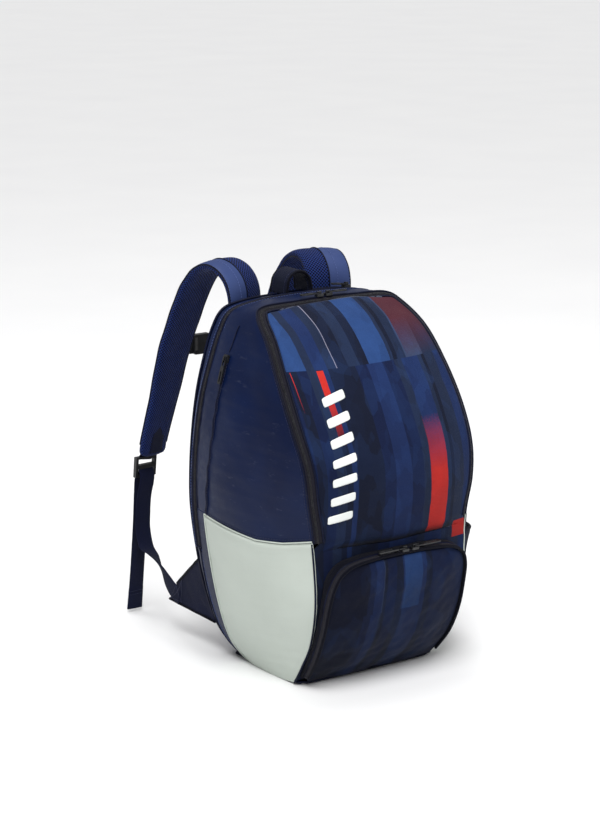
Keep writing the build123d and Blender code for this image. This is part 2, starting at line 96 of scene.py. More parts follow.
def square_to(v, axis):
    """The part of v at right angles to axis, as a unit vector."""
    return unit(v - axis * dot(v, axis))


def direction(line):
    return unit(np.gradient(line, axis=0))


def curve(points, at):
    """A smooth line through the points; at counts points from 0."""
    p = np.asarray(points, float)
    p = np.vstack([2 * p[0] - p[1], p, 2 * p[-1] - p[-2]])
    at = np.clip(np.asarray(at, float), 0, len(p) - 3 - 1e-9)
    i = at.astype(int)
    f = (at - i)[..., None]
    a, b, c, d = p[i], p[i + 1], p[i + 2], p[i + 3]
    return 0.5 * (2 * b + (c - a) * f + (2 * a - 5 * b + 4 * c - d) * f ** 2
                  + (3 * b - a - 3 * c + d) * f ** 3)


def smooth(points, count):
    """A smooth line through all the points, as this many points."""
    return curve(points, np.linspace(0, len(points) - 1, count))


def lengths_of(line):
    return np.r_[0, np.cumsum(np.linalg.norm(np.diff(line, axis=0), axis=1))]


def resample(line, step, *others):
    """The line at even steps, with other rows of numbers taken along."""
    lengths = lengths_of(line)
    count = max(2, int(round(lengths[-1] / step)) + 1)
    marks = np.linspace(0, lengths[-1], count)
    return [np.stack([np.interp(marks, lengths, a[:, k]) for k in range(a.shape[1])], 1)
            for a in (line, *others)]


def side_names(side):
    """The name of a side, -1 or 1, and the factors that carry left-hand points to it."""
    return ("left" if side < 0 else "right"), np.array([-side, 1, 1])


def spread(profile, shares):
    """Rows from side to side: each point of a profile, with its x times the shares."""
    rows = np.repeat(profile[:, None], len(shares), 1)
    rows[..., 0] *= shares
    return rows


def smooth_step(x, low, high):
    t = np.clip((x - low) / (high - low), 0, 1)
    return t * t * (3 - 2 * t)


def ripple(points, size, seed, stretch=(1, 1, 1)):
    """Soft undulation between -1 and 1, about as wide as size."""
    rng = np.random.default_rng(seed)
    total = np.zeros(points.shape[:-1])
    for _ in range(9):
        way = unit(rng.normal(size=3)) * np.array(stretch)
        way = way * rng.uniform(0.6, 1.7) * 2 * math.pi / size
        total += np.sin(points @ way + rng.uniform(0, 6.28))
    return np.clip(total / 4, -1, 1)


def grid_normals(points, centre=SHELL_CENTRE):
    """Normals of a grid of points, facing away from the centre."""
    n = unit(np.cross(np.gradient(points, axis=0), np.gradient(points, axis=1)))
    return np.where(dot(n, points - centre) < 0, -n, n)


# ---- mesh building ----
GRAIN_RINGS = [(-0.5, 0.5), (-0.36, 1.0), (0.36, 1.0), (0.5, 0.5)]
GRAIN_SIDES = 6


class Build:
    """Collects grids, tubes and small bars into one mesh with metric UVs."""

    def __init__(self, name):
        self.name = name
        self.verts = []
        self.faces = []
        self.uvs = []
        self.slots = []
        self.count = 0

    def put(self, verts, faces, uvs, slot):
        self.verts.append(np.asarray(verts, float).reshape(-1, 3))
        self.faces += [[int(i) + self.count for i in f] for f in faces]
        self.uvs += [np.asarray(u, float) for u in uvs]
        self.slots += [slot] * len(faces)
        self.count += len(self.verts[-1])

    def grid(self, points, slot=0, wrap=False, caps=False, uv=None, slots=None):
        """A sheet through rows of points; wrap closes it round, caps close its ends."""
        rows, cols = points.shape[:2]
        if uv is None:
            middle = points[rows // 2]
            across = lengths_of(np.vstack([middle, middle[:1]]))
            along = lengths_of(points[:, cols // 2])
            uv = np.stack(np.meshgrid(across, along), -1)
        last = cols if wrap else cols - 1
        faces, uvs = [], []
        for i in range(rows - 1):
            for j in range(last):
                k = (j + 1) % cols
                faces.append((i * cols + j, i * cols + k, (i + 1) * cols + k, (i + 1) * cols + j))
                uvs.append((uv[i, j], uv[i, j + 1], uv[i + 1, j + 1], uv[i + 1, j]))
        if caps:
            ring = np.arange(cols)
            for end, order in ((0, ring[::-1]), (rows - 1, ring)):
                faces.append(tuple(end * cols + order))
                uvs.append([uv[end, j] for j in order])
        self.put(points, faces, uvs, slot)
        if slots is not None:
            body = (rows - 1) * last
            start = len(self.slots) - len(faces)
            for i in range(body):
                self.slots[start + i] = slots[i % last]
        return self

    def tube(self, line, radius, sides=8, slot=0, flat=1.0, normal=None):
        """A round or flattened cord along a line."""
        along = direction(line)
        if normal is None:
            frame_up = np.cross(along[0], [0.3, 0.2, 0.93])
            ups = []
            for t in along:
                frame_up = unit(frame_up - t * np.dot(frame_up, t))
                ups.append(frame_up)
            normal = np.array(ups)
        up = square_to(normal, along)
        side = np.cross(along, up)
        angles = np.linspace(0, 2 * math.pi, sides, endpoint=False)
        ring = [line + side * math.cos(a) * radius + up * math.sin(a) * radius * flat for a in angles]
        return self.grid(np.stack(ring, 1), slot, wrap=True, caps=True)

    def grains(self, centres, along, normal, size, slot=0):
        """Small rounded bars, such as stitches and zip teeth; size is length, width, height."""
        along = unit(along)
        up = square_to(normal, along)
        side = np.cross(up, along)
        angles = np.linspace(0, 2 * math.pi, GRAIN_SIDES, endpoint=False)
        shape = np.array([[x, r * math.cos(a) / 2, r * math.sin(a) / 2]
                          for x, r in GRAIN_RINGS for a in angles]) * np.array(size)
        verts = (centres[:, None] + along[:, None] * shape[None, :, :1]
                 + side[:, None] * shape[None, :, 1:2] + up[:, None] * shape[None, :, 2:])
        n, last = GRAIN_SIDES, len(GRAIN_RINGS) - 1
        faces = [(i * n + j, i * n + (j + 1) % n, (i + 1) * n + (j + 1) % n, (i + 1) * n + j)
                 for i in range(last) for j in range(n)]
        faces += [tuple(range(n - 1, -1, -1)), tuple(range(last * n, last * n + n))]
        flat_uv = shape[:, :2]
        for k, block in enumerate(verts):
            self.put(block, faces, [flat_uv[list(f)] + k * 0.004 for f in faces], slot)
        return self

    def make(self, materials, body=None, replaces=(), slot_name=None, solid=0.0):
        """The finished object. solid thickens a sheet inwards, with its lining in the next slot."""
        mesh = bpy.data.meshes.new(self.name)
        mesh.from_pydata(np.concatenate(self.verts).tolist(), [], self.faces)
        layer = mesh.uv_layers.new(name="cloth")
        layer.data.foreach_set("uv", np.concatenate(self.uvs).astype(np.float32).ravel())
        for m in materials:
            mesh.materials.append(m)
        mesh.polygons.foreach_set("material_index", self.slots)
        mesh.polygons.foreach_set("use_smooth", [True] * len(mesh.polygons))
        mesh.update()
        obj = bpy.data.objects.new(self.name, mesh)
        bpy.context.scene.collection.objects.link(obj)
        if solid:
            thick = obj.modifiers.new("thickness", "SOLIDIFY")
            thick.thickness = abs(solid)
            thick.offset = -1 if solid > 0 else 1
            thick.material_offset = 1 if len(materials) > 1 else 0
        if body:
            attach(obj, body)
        if replaces:
            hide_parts(*replaces)
        return obj

    def trim(self, material, body="bag", slot_name="binding"):
        """A finished piece of one material that stands for no CAD node."""
        return self.make([material], body, (), slot_name)


# ---- materials ----
def rgb(r, g, b):
    """A display colour, 0 to 255, as linear light."""
    return tuple(c / 255 / 12.92 if c < 11 else ((c / 255 + 0.055) / 1.055) ** 2.4
                 for c in (r, g, b)) + (1.0,)


def shade(colour, factor, lift=0.0):
    """A colour made darker or lighter."""
    return tuple(min(1, c * factor + lift) for c in colour[:3]) + (1,)


class Paint:
    """A procedural material, built node by node."""

    def __init__(self, name, **constants):
        self.material = bpy.data.materials.new(name)
        self.material.use_nodes = True
        self.tree = self.material.node_tree
        self.shader = self.tree.nodes["Principled BSDF"]
        for key, value in constants.items():
            self.shader.inputs[key.replace("_", " ")].default_value = value

    def node(self, kind, inputs=(), **settings):
        made = self.tree.nodes.new("ShaderNode" + kind)
        for key, value in settings.items():
            setattr(made, key, value)
        for key, value in dict(inputs).items():
            if isinstance(value, bpy.types.NodeSocket):
                self.tree.links.new(value, made.inputs[key])
            else:
                made.inputs[key].default_value = value
        return made

    def cloth(self, scale=1.0, turn=0.0, stretch=(1, 1)):
        """The metric cloth coordinates, scaled and turned."""
        uv = self.node("UVMap", uv_map="cloth").outputs["UV"]
        return self.mapped(uv, (scale * stretch[0], scale * stretch[1], scale), turn)

    def place(self, scale=1.0, stretch=(1, 1, 1)):
        """The object's own coordinates, scaled."""
        at = self.node("TexCoord").outputs["Object"]
        return self.mapped(at, tuple(scale * s for s in stretch))

    def mapped(self, vector, scale, turn=0.0):
        return self.node("Mapping", {"Vector": vector, "Scale": scale,
                                     "Rotation": (0, 0, turn)}).outputs["Vector"]

    def noise(self, vector, detail=2.0, rough=0.5):
        return self.node("TexNoise", {"Vector": vector, "Scale": 1.0, "Detail": detail,
                                      "Roughness": rough}).outputs["Fac"]

    def math(self, operation, a, b=0.0):
        return self.node("Math", {0: a, 1: b}, operation=operation).outputs[0]

    def band(self, value, low, high):
        """1 where the value lies between low and high."""
        return self.math("MULTIPLY", self.math("GREATER_THAN", value, low),
                         self.math("LESS_THAN", value, high))

    def fade(self, value, low, high, bottom=0.0, top=1.0):
        return self.node("MapRange", {"Value": value, "From Min": low, "From Max": high,
                                      "To Min": bottom, "To Max": top}).outputs["Result"]

    def mix(self, share, a, b):
        return self.node("Mix", {0: share, 6: a, 7: b}, data_type="RGBA").outputs[2]

    def ramp(self, value, stops, steps=False):
        made = self.node("ValToRGB", {"Fac": value})
        bar = made.color_ramp
        bar.interpolation = "CONSTANT" if steps else "LINEAR"
        while len(bar.elements) < len(stops):
            bar.elements.new(1.0)
        for element, (at, colour) in zip(bar.elements, stops):
            element.position = at
            element.color = colour
        return made.outputs["Color"]

    def weave(self, pitch, turn=0.0):
        """Over-and-under threads of a plain weave, 0 to 1."""
        uv = self.node("SeparateXYZ", {0: self.cloth(2 * math.pi / pitch, turn)})
        product = self.math("MULTIPLY", self.math("SINE", uv.outputs[0]), self.math("SINE", uv.outputs[1]))
        return self.node("Math", {0: product, 1: 0.5, 2: 0.5}, operation="MULTIPLY_ADD").outputs[0]

    def ribs(self, pitch, turn=0.0):
        """Parallel ridges across the first cloth direction, 0 to 1."""
        uv = self.node("SeparateXYZ", {0: self.cloth(math.pi / pitch, turn)})
        return self.math("ABSOLUTE", self.math("SINE", uv.outputs[0]))

    def finish(self, colour, rough=None, height=None, depth=0.1 * MM, strength=1.0):
        links = self.tree.links
        links.new(colour, self.shader.inputs["Base Color"])
        if rough is not None:
            links.new(rough, self.shader.inputs["Roughness"])
        if height is not None:
            bump = self.node("Bump", {"Height": height, "Distance": depth, "Strength": strength})
            links.new(bump.outputs["Normal"], self.shader.inputs["Normal"])
        return self.material


def coated_fabric(name, light, dark, rough=0.42, twill=0.0, coat=0.12):
    """Polyurethane-coated fabric: fine grain, soft crinkles, faint scuffs and colour drift."""
    p = Paint(name, Coat_Weight=coat, Coat_Roughness=0.3, Specular_IOR_Level=0.12)
    drift = p.noise(p.place(9), 3)
    grain = p.noise(p.place(2600), 2)
    crinkle = p.noise(p.place(120, (1, 1, 1.6)), 4, 0.6)
    rubs = p.noise(p.place(45, (1, 1, 3)), 6, 0.7)
    scuff = p.ramp(rubs, [(0.60, (0, 0, 0, 1)), (0.72, (1, 1, 1, 1))])
    colour = p.mix(p.fade(drift, 0.35, 0.65), light, dark)
    colour = p.mix(p.math("MULTIPLY", scuff, 0.07), colour, rgb(150, 155, 170))
    colour = p.mix(p.fade(grain, 0.3, 0.7, 0, 0.12), colour, shade(dark, 0.6))
    height = p.math("ADD", p.math("MULTIPLY", grain, 0.3), crinkle)
    if twill:
        height = p.math("ADD", height, p.math("MULTIPLY", p.ribs(twill, math.radians(38)), 0.7))
    roughness = p.fade(crinkle, 0.3, 0.7, rough - 0.06, rough + 0.1)
    return p.finish(colour, roughness, height, 0.16 * MM)


def woven_fabric(name, light, dark, pitch=0.5 * MM, rough=0.8, sheen=0.08, depth=0.12 * MM):
    """Plain woven polyester: over-and-under threads, uneven yarn, soft dye drift."""
    p = Paint(name, Sheen_Weight=sheen, Sheen_Roughness=0.4, Specular_IOR_Level=0.15)
    threads = p.weave(pitch)
    yarn = p.noise(p.cloth(700, stretch=(1, 3)), 2)
    drift = p.noise(p.place(14), 3)
    colour = p.mix(p.fade(drift, 0.3, 0.7), light, dark)
    colour = p.mix(p.fade(p.math("MULTIPLY", threads, yarn), 0.1, 0.5), colour, shade(light, 1.7, 0.003))
    height = p.math("ADD", threads, yarn)
    return p.finish(colour, p.fade(yarn, 0.2, 0.8, rough - 0.08, rough + 0.08), height, depth)


def ribbed_tape(name, light, dark, pitch, rough=0.7, turn=0.0, sheen=0.03):
    """Zip tape, binding and webbing: close ribs with a fine cross weave."""
    p = Paint(name, Sheen_Weight=sheen, Specular_IOR_Level=0.08)
    rib = p.ribs(pitch, turn)
    cross = p.ribs(pitch * 0.45, turn + math.pi / 2)
    fluff = p.noise(p.place(900), 3)
    colour = p.mix(p.math("MULTIPLY", rib, p.fade(fluff, 0.3, 0.7, 0.5, 1)), dark, light)
    height = p.math("ADD", rib, p.math("MULTIPLY", cross, 0.5))
    return p.finish(colour, p.fade(fluff, 0.3, 0.7, rough - 0.1, rough + 0.1), height, 0.22 * MM)


def air_mesh(name, light, dark, pitch=4.2 * MM, rough=0.85):
    """Spacer mesh: staggered round holes, painted near black as shade inside them, with knitted threads
    between them.
    """
    p = Paint(name, Sheen_Weight=0.04, Sheen_Roughness=0.5, Specular_IOR_Level=0.12)
    uv = p.node("SeparateXYZ", {0: p.cloth(math.pi / pitch, math.radians(45))})
    lattice = p.math("MULTIPLY", p.math("SINE", uv.outputs[0]), p.math("SINE", uv.outputs[1]))
    hole = p.fade(p.math("ABSOLUTE", lattice), 0.22, 0.5)
    knit = p.weave(0.7 * MM, math.radians(20))
    drift = p.noise(p.place(30), 3)
    colour = p.mix(p.fade(drift, 0.3, 0.7, 0, 0.4), light, dark)
    colour = p.mix(p.math("MULTIPLY", knit, 0.35), colour, shade(light, 1.8))
    # Painted shade: the holes are painted near black for the shade inside the mesh.
    colour = p.mix(hole, colour, shade(dark, 0.12))
    height = p.math("SUBTRACT", p.math("MULTIPLY", knit, 0.12), hole)
    return p.finish(colour, p.fade(hole, 0, 1, rough, 0.95), height, 0.7 * MM)


def moulded_plastic(name, light, dark, rough=0.42):
    """Injection-moulded acetal: fine spark-eroded texture, rubbed smoother in patches."""
    p = Paint(name, Specular_IOR_Level=0.5)
    texture = p.noise(p.place(3000), 2)
    rubbed = p.noise(p.place(140), 4, 0.6)
    colour = p.mix(p.fade(rubbed, 0.35, 0.65), dark, light)
    return p.finish(colour, p.fade(rubbed, 0.35, 0.65, rough + 0.1, rough - 0.1), texture, 0.05 * MM)


def thread(name, light, dark):
    """Twisted sewing thread."""
    p = Paint(name, Sheen_Weight=0.05, Specular_IOR_Level=0.25)
    twist = p.ribs(0.35 * MM, math.radians(35))
    colour = p.mix(p.math("MULTIPLY", twist, p.noise(p.place(200), 2)), dark, light)
    return p.finish(colour, None, twist, 0.08 * MM)


# Print colours
SLATE = rgb(30, 42, 68)
DEEP_SLATE = rgb(15, 22, 42)
MID_BLUE = rgb(42, 72, 126)
BLUE = rgb(27, 46, 92)
NAVY = rgb(15, 28, 64)
DARK_NAVY = rgb(8, 13, 36)
RED = rgb(204, 48, 40)
MAROON = rgb(80, 38, 48)
HAZE_BLUE = rgb(56, 68, 98)
PALE_LINE = rgb(150, 150, 170)
PRINT_HALF = 150           # the stripes are given from this far left to this far right
FACETS = 48.0              # facets of the print to a metre


def striped_print(name, zones, accents):
    """Sublimated stripes: one set of stops for each height zone, with facets, haze, accents, and painted
    shade that darkens the lower part.

    The print map holds metres across and up. zones: (lowest height, stripes) going up, each
    stripe with its left edge in millimetres from the middle. accents: left, right, first and
    last height in millimetres, colour, and the height over which it fades in.
    """
    p = Paint(name, Sheen_Weight=0.03, Sheen_Roughness=0.45, Specular_IOR_Level=0.1)
    at = p.node("SeparateXYZ", {0: p.node("UVMap", uv_map="print").outputs["UV"]})
    x, y = at.outputs[0], at.outputs[1]
    across = p.fade(x, -PRINT_HALF * MM, PRINT_HALF * MM)
    colour = None
    for low, stripes in zones:
        stops = [((left / PRINT_HALF + 1) / 2, tint) for left, tint in stripes]
        layer = p.ramp(across, stops, steps=True)
        colour = layer if colour is None else p.mix(p.math("GREATER_THAN", y, low * MM), colour, layer)
    for turn, share in ((24, 0.16), (-31, 0.12)):
        facets = p.node("TexVoronoi", {"Vector": p.cloth(FACETS, math.radians(turn), (1, 0.5)),
                                       "Scale": 1.0}, distance="CHEBYCHEV")
        tone = p.node("SeparateXYZ", {0: facets.outputs["Color"]}).outputs[0]
        colour = p.mix(p.fade(tone, 0.5, 1.0, 0, share), colour, MID_BLUE)
        colour = p.mix(p.fade(tone, 0.5, 0.0, 0, share), colour, DEEP_SLATE)
    speck = p.noise(p.cloth(420), 4, 0.75)
    for x_from, x_to, y_from, y_to, tint, fade_in in accents:
        mask = p.math("MULTIPLY", p.band(x, x_from * MM, x_to * MM),
                      p.band(y, min(y_from, y_to) * MM, max(y_from, y_to) * MM))
        if fade_in:
            rise = p.fade(y, y_from * MM, (y_from + fade_in) * MM)
            rise = p.fade(p.math("ADD", rise, p.math("MULTIPLY", speck, 0.5)), 0.25, 1.0)
            mask = p.math("MULTIPLY", mask, rise)
        colour = p.mix(mask, colour, tint)
    haze = p.noise(p.place(26), 5, 0.65)
    colour = p.mix(p.fade(haze, 0.35, 0.75, 0, 0.22), colour, DARK_NAVY)
    threads = p.weave(0.55 * MM)
    colour = p.mix(p.fade(speck, 0.3, 0.7, 0, 0.14), colour, rgb(8, 12, 30))
    # Painted shade: the print is darkened towards the bottom of the panel, fading out by 0.42 m up.
    colour = p.mix(p.fade(y, 0.05, 0.42, 0.62, 0.0), colour, rgb(4, 7, 20))
    height = p.math("ADD", p.math("MULTIPLY", threads, 0.6), speck)
    return p.finish(colour, p.fade(speck, 0.2, 0.8, 0.62, 0.8), height, 0.12 * MM)


NAVY_PU = coated_fabric("navy_pu", rgb(11, 27, 64), rgb(8, 20, 52), rough=0.38, coat=0.07)
WHITE_PU = coated_fabric("white_pu", rgb(196, 204, 196), rgb(188, 196, 188), rough=0.55,
                         twill=1.6 * MM, coat=0.0)
STRAP_PU = coated_fabric("strap_pu", rgb(62, 78, 124), rgb(52, 66, 110), rough=0.5, coat=0.0)
BINDING = ribbed_tape("navy_binding", rgb(9, 11, 28), rgb(3, 4, 12), 0.9 * MM)
PIPING = coated_fabric("piping_pu", rgb(12, 18, 44), rgb(7, 11, 30), rough=0.42, coat=0.0)
ZIP_TAPE = ribbed_tape("zip_tape", rgb(44, 43, 52), rgb(12, 12, 20), 1.1 * MM)
ZIP_COIL = moulded_plastic("zip_coil", rgb(34, 34, 42), rgb(14, 14, 20), 0.4)
BLACK_PLASTIC = moulded_plastic("black_plastic", rgb(24, 25, 28), rgb(12, 12, 15))
METAL_BLACK = moulded_plastic("painted_zinc", rgb(34, 35, 38), rgb(12, 12, 14), 0.3)
WEBBING = ribbed_tape("navy_webbing", rgb(19, 25, 56), rgb(6, 9, 26), 1.3 * MM)
HANDLE_WEB = ribbed_tape("handle_webbing", rgb(22, 28, 52), rgb(7, 10, 26), 1.1 * MM)
NAVY_MESH = air_mesh("navy_mesh", rgb(30, 50, 112), rgb(15, 26, 68), 3.2 * MM)
BLACK_MESH = air_mesh("back_mesh", rgb(34, 40, 62), rgb(20, 24, 40), 3.6 * MM)
SIDE_MESH = air_mesh("pocket_mesh", rgb(32, 37, 56), rgb(18, 21, 36), 2.4 * MM)
LINING = woven_fabric("lining", rgb(64, 70, 86), rgb(50, 56, 74), 0.4 * MM)
NAVY_CLOTH = woven_fabric("navy_cloth", rgb(12, 17, 42), rgb(6, 9, 28), 0.6 * MM, sheen=0.0)
BACK_CLOTH = woven_fabric("back_cloth", rgb(24, 33, 68), rgb(15, 21, 48), 0.6 * MM, sheen=0.0)
BOARD = moulded_plastic("grey_board", rgb(120, 122, 126), rgb(98, 100, 106), 0.6)
LIGHT_THREAD = thread("light_thread", rgb(104, 122, 176), rgb(62, 78, 132))
DARK_THREAD = thread("dark_thread", rgb(34, 44, 88), rgb(14, 19, 48))
WHITE_FILM = coated_fabric("white_transfer", rgb(238, 240, 238), rgb(226, 230, 228), rough=0.5,
                           coat=0.0)


# ---- the shell as smooth surfaces ----
def hoop_points(which):
    """Points of one seam line, from the left base over the top to the right base."""
    half = np.array([h[which] for h in HOOPS], float) * MM
    left = half * [-1, 1, 1]
    return np.vstack([left, half[-2::-1]])


BACK_LINE, REAR_LINE, FRONT_LINE = (hoop_points(k) for k in range(3))
SWELL = np.array([h[3] for h in HOOPS] + [h[3] for h in HOOPS[-2::-1]], float)[:, None] * MM


def swell_normal(u):
    """At each u: rear zip point, front zip point, and the direction that the side swells."""
    rear, front = curve(REAR_LINE, u), curve(FRONT_LINE, u)
    middle = (rear + front) / 2
    away = middle.copy()
    away[..., 1] -= middle[..., 1] * 0.85
    away[..., 2] -= 0.25 + (middle[..., 2] - 0.25) * 0.35
    along = unit(front - rear)
    return rear, front, square_to(away, along)


def side_surface(u, t, outward=0.0):
    """Side panel points: u up the hoops, t from the rear zip (0) to the front zip (1)."""
    rear, front, normal = swell_normal(u)
    control = (rear + front) / 2 + normal * curve(SWELL, u) * 2
    t = np.asarray(t)[..., None]
    return rear * (1 - t) ** 2 + control * 2 * t * (1 - t) + front * t ** 2 + normal * outward


def bevel(u):
    """At each u: front zip point, direction across the zip, and inward normal."""
    rear, front = curve(REAR_LINE, u), curve(FRONT_LINE, u)
    tangent = unit(curve(FRONT_LINE, u + 0.4) - curve(FRONT_LINE, u - 0.4))
    to_front, to_centre = unit(front - rear), unit(PANEL_CENTRE - front)
    to_front = square_to(to_front, tangent)
    to_centre = square_to(to_centre, tangent)
    across = unit(to_front + to_centre)
    inward = unit(np.cross(tangent, across))
    inward = np.where(dot(inward, front - SHELL_CENTRE) > 0, -inward, inward)
    return front, across, inward


SEAM_AT = [(0, 4.13), (0.115, 4.11), (0.35, 4.03), (0.6, 3.94), (0.8, 3.96), (1, 4.04)]


def seam_u(t):
    """The seam over the light panel: high at the rear, lowest in front of the middle."""
    at, level = np.transpose(SEAM_AT)
    return np.interp(t, at, level)


def puckered(points, seed, amount=0.8 * MM, size=0.09):
    """A sewn fabric grid: soft hollows, fine creases, and gathers along its long edges."""
    normals = grid_normals(points)
    cols = points.shape[1]
    t = np.linspace(0, 1, cols)[None]
    inside = np.minimum(1, np.minimum(t, 1 - t) * 7)
    soft = ripple(points, size, seed, (1, 0.7, 1.3)) * amount
    crease = ripple(points, size / 3, seed + 1, (1, 0.5, 2.2)) * amount * 0.3
    edge = np.exp(-np.minimum(t, 1 - t) * 16) * ripple(points, 0.022, seed + 2) * amount * 0.5
    return points + normals * ((soft + crease) * inside + edge)[..., None]


# ---- side panels, gussets and piping ----
STRIP_T = 0.115            # front edge of the navy strip beside the rear zip, as a share of the side
FRONT_EDGE_T = 0.995       # line of the piping along the front zip
STITCH_PITCH = 4.0 * MM
STITCH_LENGTH = 2.9 * MM
STITCH_WIDTH = 0.75 * MM
STITCH_HEIGHT = 0.6 * MM
TAPE_RIDGES = np.array([0.0, 0.25, 0.05, 0.25, 0.05, 0.2, 0.0]) * MM


def zip_margin(u):
    """Share of the side taken by the rear zip."""
    rear, front, _ = swell_normal(u)
    return 5 * MM / np.linalg.norm(front - rear, axis=-1)


def zip_there(u):
    """1 where the rear zip runs and 0 below its ends, where the fabric is closed by a seam."""
    return smooth_step(np.minimum(u, FAR_U - u), ZIP_END_U - 0.12, ZIP_END_U - 0.04)


def make_upper_shell():
    """Navy panel from the left seam over the top to the right seam."""
    t = np.linspace(0, 1, 56)
    rows = np.linspace(0, 1, 330)[:, None]
    start = zip_margin(rows[:, 0] * FAR_U)[:, None]
    low = seam_u(t)[None]
    u = low + (FAR_U - 2 * low) * rows
    across = start + (1 - start) * t[None]
    points = side_surface(u, across)
    points = puckered(points, 3)
    hollow = np.exp(-((u - 7.4) / 1.6) ** 2) * np.exp(-((across - 0.62) / 0.16) ** 2)
    points -= grid_normals(points) * (hollow * 2.2 * MM)[..., None]
    Build("upper_shell").grid(points).make(
        [NAVY_PU, LINING], "bag", ["side_panel_left", "side_panel_right", "top_panel"], "pu_navy", 1.6 * MM)
    return points


def make_lower_panel(side):
    """Light coated panel below the seam, with a navy strip along the rear zip."""
    label, mirror = side_names(side)
    facing_out = -side     # a mirrored sheet is turned round, so that its coated face stays outside
    t = np.linspace(STRIP_T, 1, 50)
    rows = np.linspace(0, 1, 70)[:, None]
    top = seam_u(t)[None] - 0.012
    points = side_surface(rows * top, np.broadcast_to(t, (70, 50)), 0.6 * MM)
    points = puckered(points, 11 + side, 0.9 * MM, size=0.11)
    roll = smooth_step(rows, 0.955, 0.985) * (1 - smooth_step(rows, 0.985, 1.0))
    points += grid_normals(points) * (roll * 1.1 * MM)[..., None]
    Build("light_panel_" + label).grid((points * mirror)[:, ::facing_out]).make(
        [WHITE_PU, LINING], "bag", ["lower_panel_" + label], "pu_light", 1.5 * MM)
    rows = np.linspace(0, seam_u(0.0) + 0.02, 140)
    start = (zip_margin(rows) * zip_there(rows))[:, None]
    t = start + (STRIP_T + 0.01 - start) * np.linspace(0, 1, 8)
    strip = side_surface(rows[:, None] + 0 * t, t, 0.1 * MM)
    Build("rear_strip_" + label).grid((strip * mirror)[:, ::facing_out]).make(
        [NAVY_PU, NAVY_PU], "bag", (), "pu_navy", 1.4 * MM)

    def upward(first, last, at, lift, count=90):
        """A line up the panel at one share of its width."""
        return side_surface(np.linspace(first, last, count), np.full(count, at), lift) * mirror

    seam_t = np.linspace(STRIP_T, FRONT_EDGE_T, 90)
    seam = side_surface(seam_u(seam_t) + 0.012, seam_t, 0.9 * MM) * mirror
    above = side_surface(seam_u(seam_t) + 0.075, seam_t, 0.7 * MM) * mirror
    edge = upward(0.03, seam_u(STRIP_T), STRIP_T, 1.0 * MM)
    rolled = Build("lower_rolled_edge_" + label).tube(edge, 0.9 * MM).tube(seam, 1.0 * MM)
    rolled.trim(WHITE_PU, slot_name="pu_light")
    front = upward(0.03, SEAM_U, FRONT_EDGE_T, 1.2 * MM)
    Build("lower_piping_" + label).tube(front, 1.3 * MM).trim(PIPING)
    sewn = Build("lower_stitches_" + label)
    for line in (upward(0.1, SEAM_U - 0.1, STRIP_T - 0.014, 0.9 * MM, 120), above):
        stitch_line(sewn, line, 4.2 * MM)
    sewn.trim(DARK_THREAD)


def stitch_line(build, line, pitch=STITCH_PITCH, length=STITCH_LENGTH, normals=None):
    """A row of stitches that lie along a line on the fabric."""
    if normals is None:
        normals = unit(line - SHELL_CENTRE)
    points, ups = resample(line, pitch, normals)
    build.grains(points, np.gradient(points, axis=0), ups, (length, STITCH_WIDTH, STITCH_HEIGHT))


def coil_line(build, line, ways, ups, size, pitch=1.55 * MM, between=False):
    """One row of a coil's turns; between puts them in the gaps of the facing row."""
    centres, ways, ups = resample(line, pitch, ways, ups)
    if between:
        centres = (centres[1:] + centres[:-1]) / 2
        ways, ups = ways[1:], ups[1:]
    return build.grains(centres, ways, ups, [s * MM for s in size])


def rear_zip_frame(u):
    """Rear zip line: point, direction towards the front, outward normal, and how far it stands open."""
    rear, front, _ = swell_normal(u)
    back = curve(BACK_LINE, u)
    tangent = unit(curve(REAR_LINE, u + 0.3) - curve(REAR_LINE, u - 0.3))
    across = front - back
    across = square_to(across, tangent)
    outward = unit(np.cross(tangent, across))
    outward = np.where(dot(outward, rear - SHELL_CENTRE) < 0, -outward, outward)
    share = np.clip((u - PORT_U[0]) / (PORT_U[1] - PORT_U[0]), 0, 1)
    gap = (np.sin(math.pi * share) ** 0.7 * PORT_GAP)[:, None]
    return rear, across, outward, gap


def make_rear_gusset():
    """Navy fabric between the back seam and the rear zip."""
    u = np.linspace(0, FAR_U, 300)
    rear, across, outward, gap = rear_zip_frame(u)
    back = curve(BACK_LINE, u)
    edge = rear - across * (4.2 * MM * zip_there(u)[:, None] + gap)
    middle = (back + edge) / 2 + outward * 1.2 * MM
    rows = []
    for s in np.linspace(0, 1, 9):
        rows.append(back * (1 - s) ** 2 + (middle * 2 - (back + edge) / 2) * 2 * s * (1 - s) + edge * s ** 2)
    points = puckered(np.stack(rows, 1), 21, 0.4 * MM, size=0.05)
    nodes = ["rear_gusset_left", "rear_gusset_right", "rear_gusset_top"]
    Build("rear_gusset").grid(points).make([NAVY_PU, LINING], "bag", nodes, "pu_navy", 1.5 * MM)


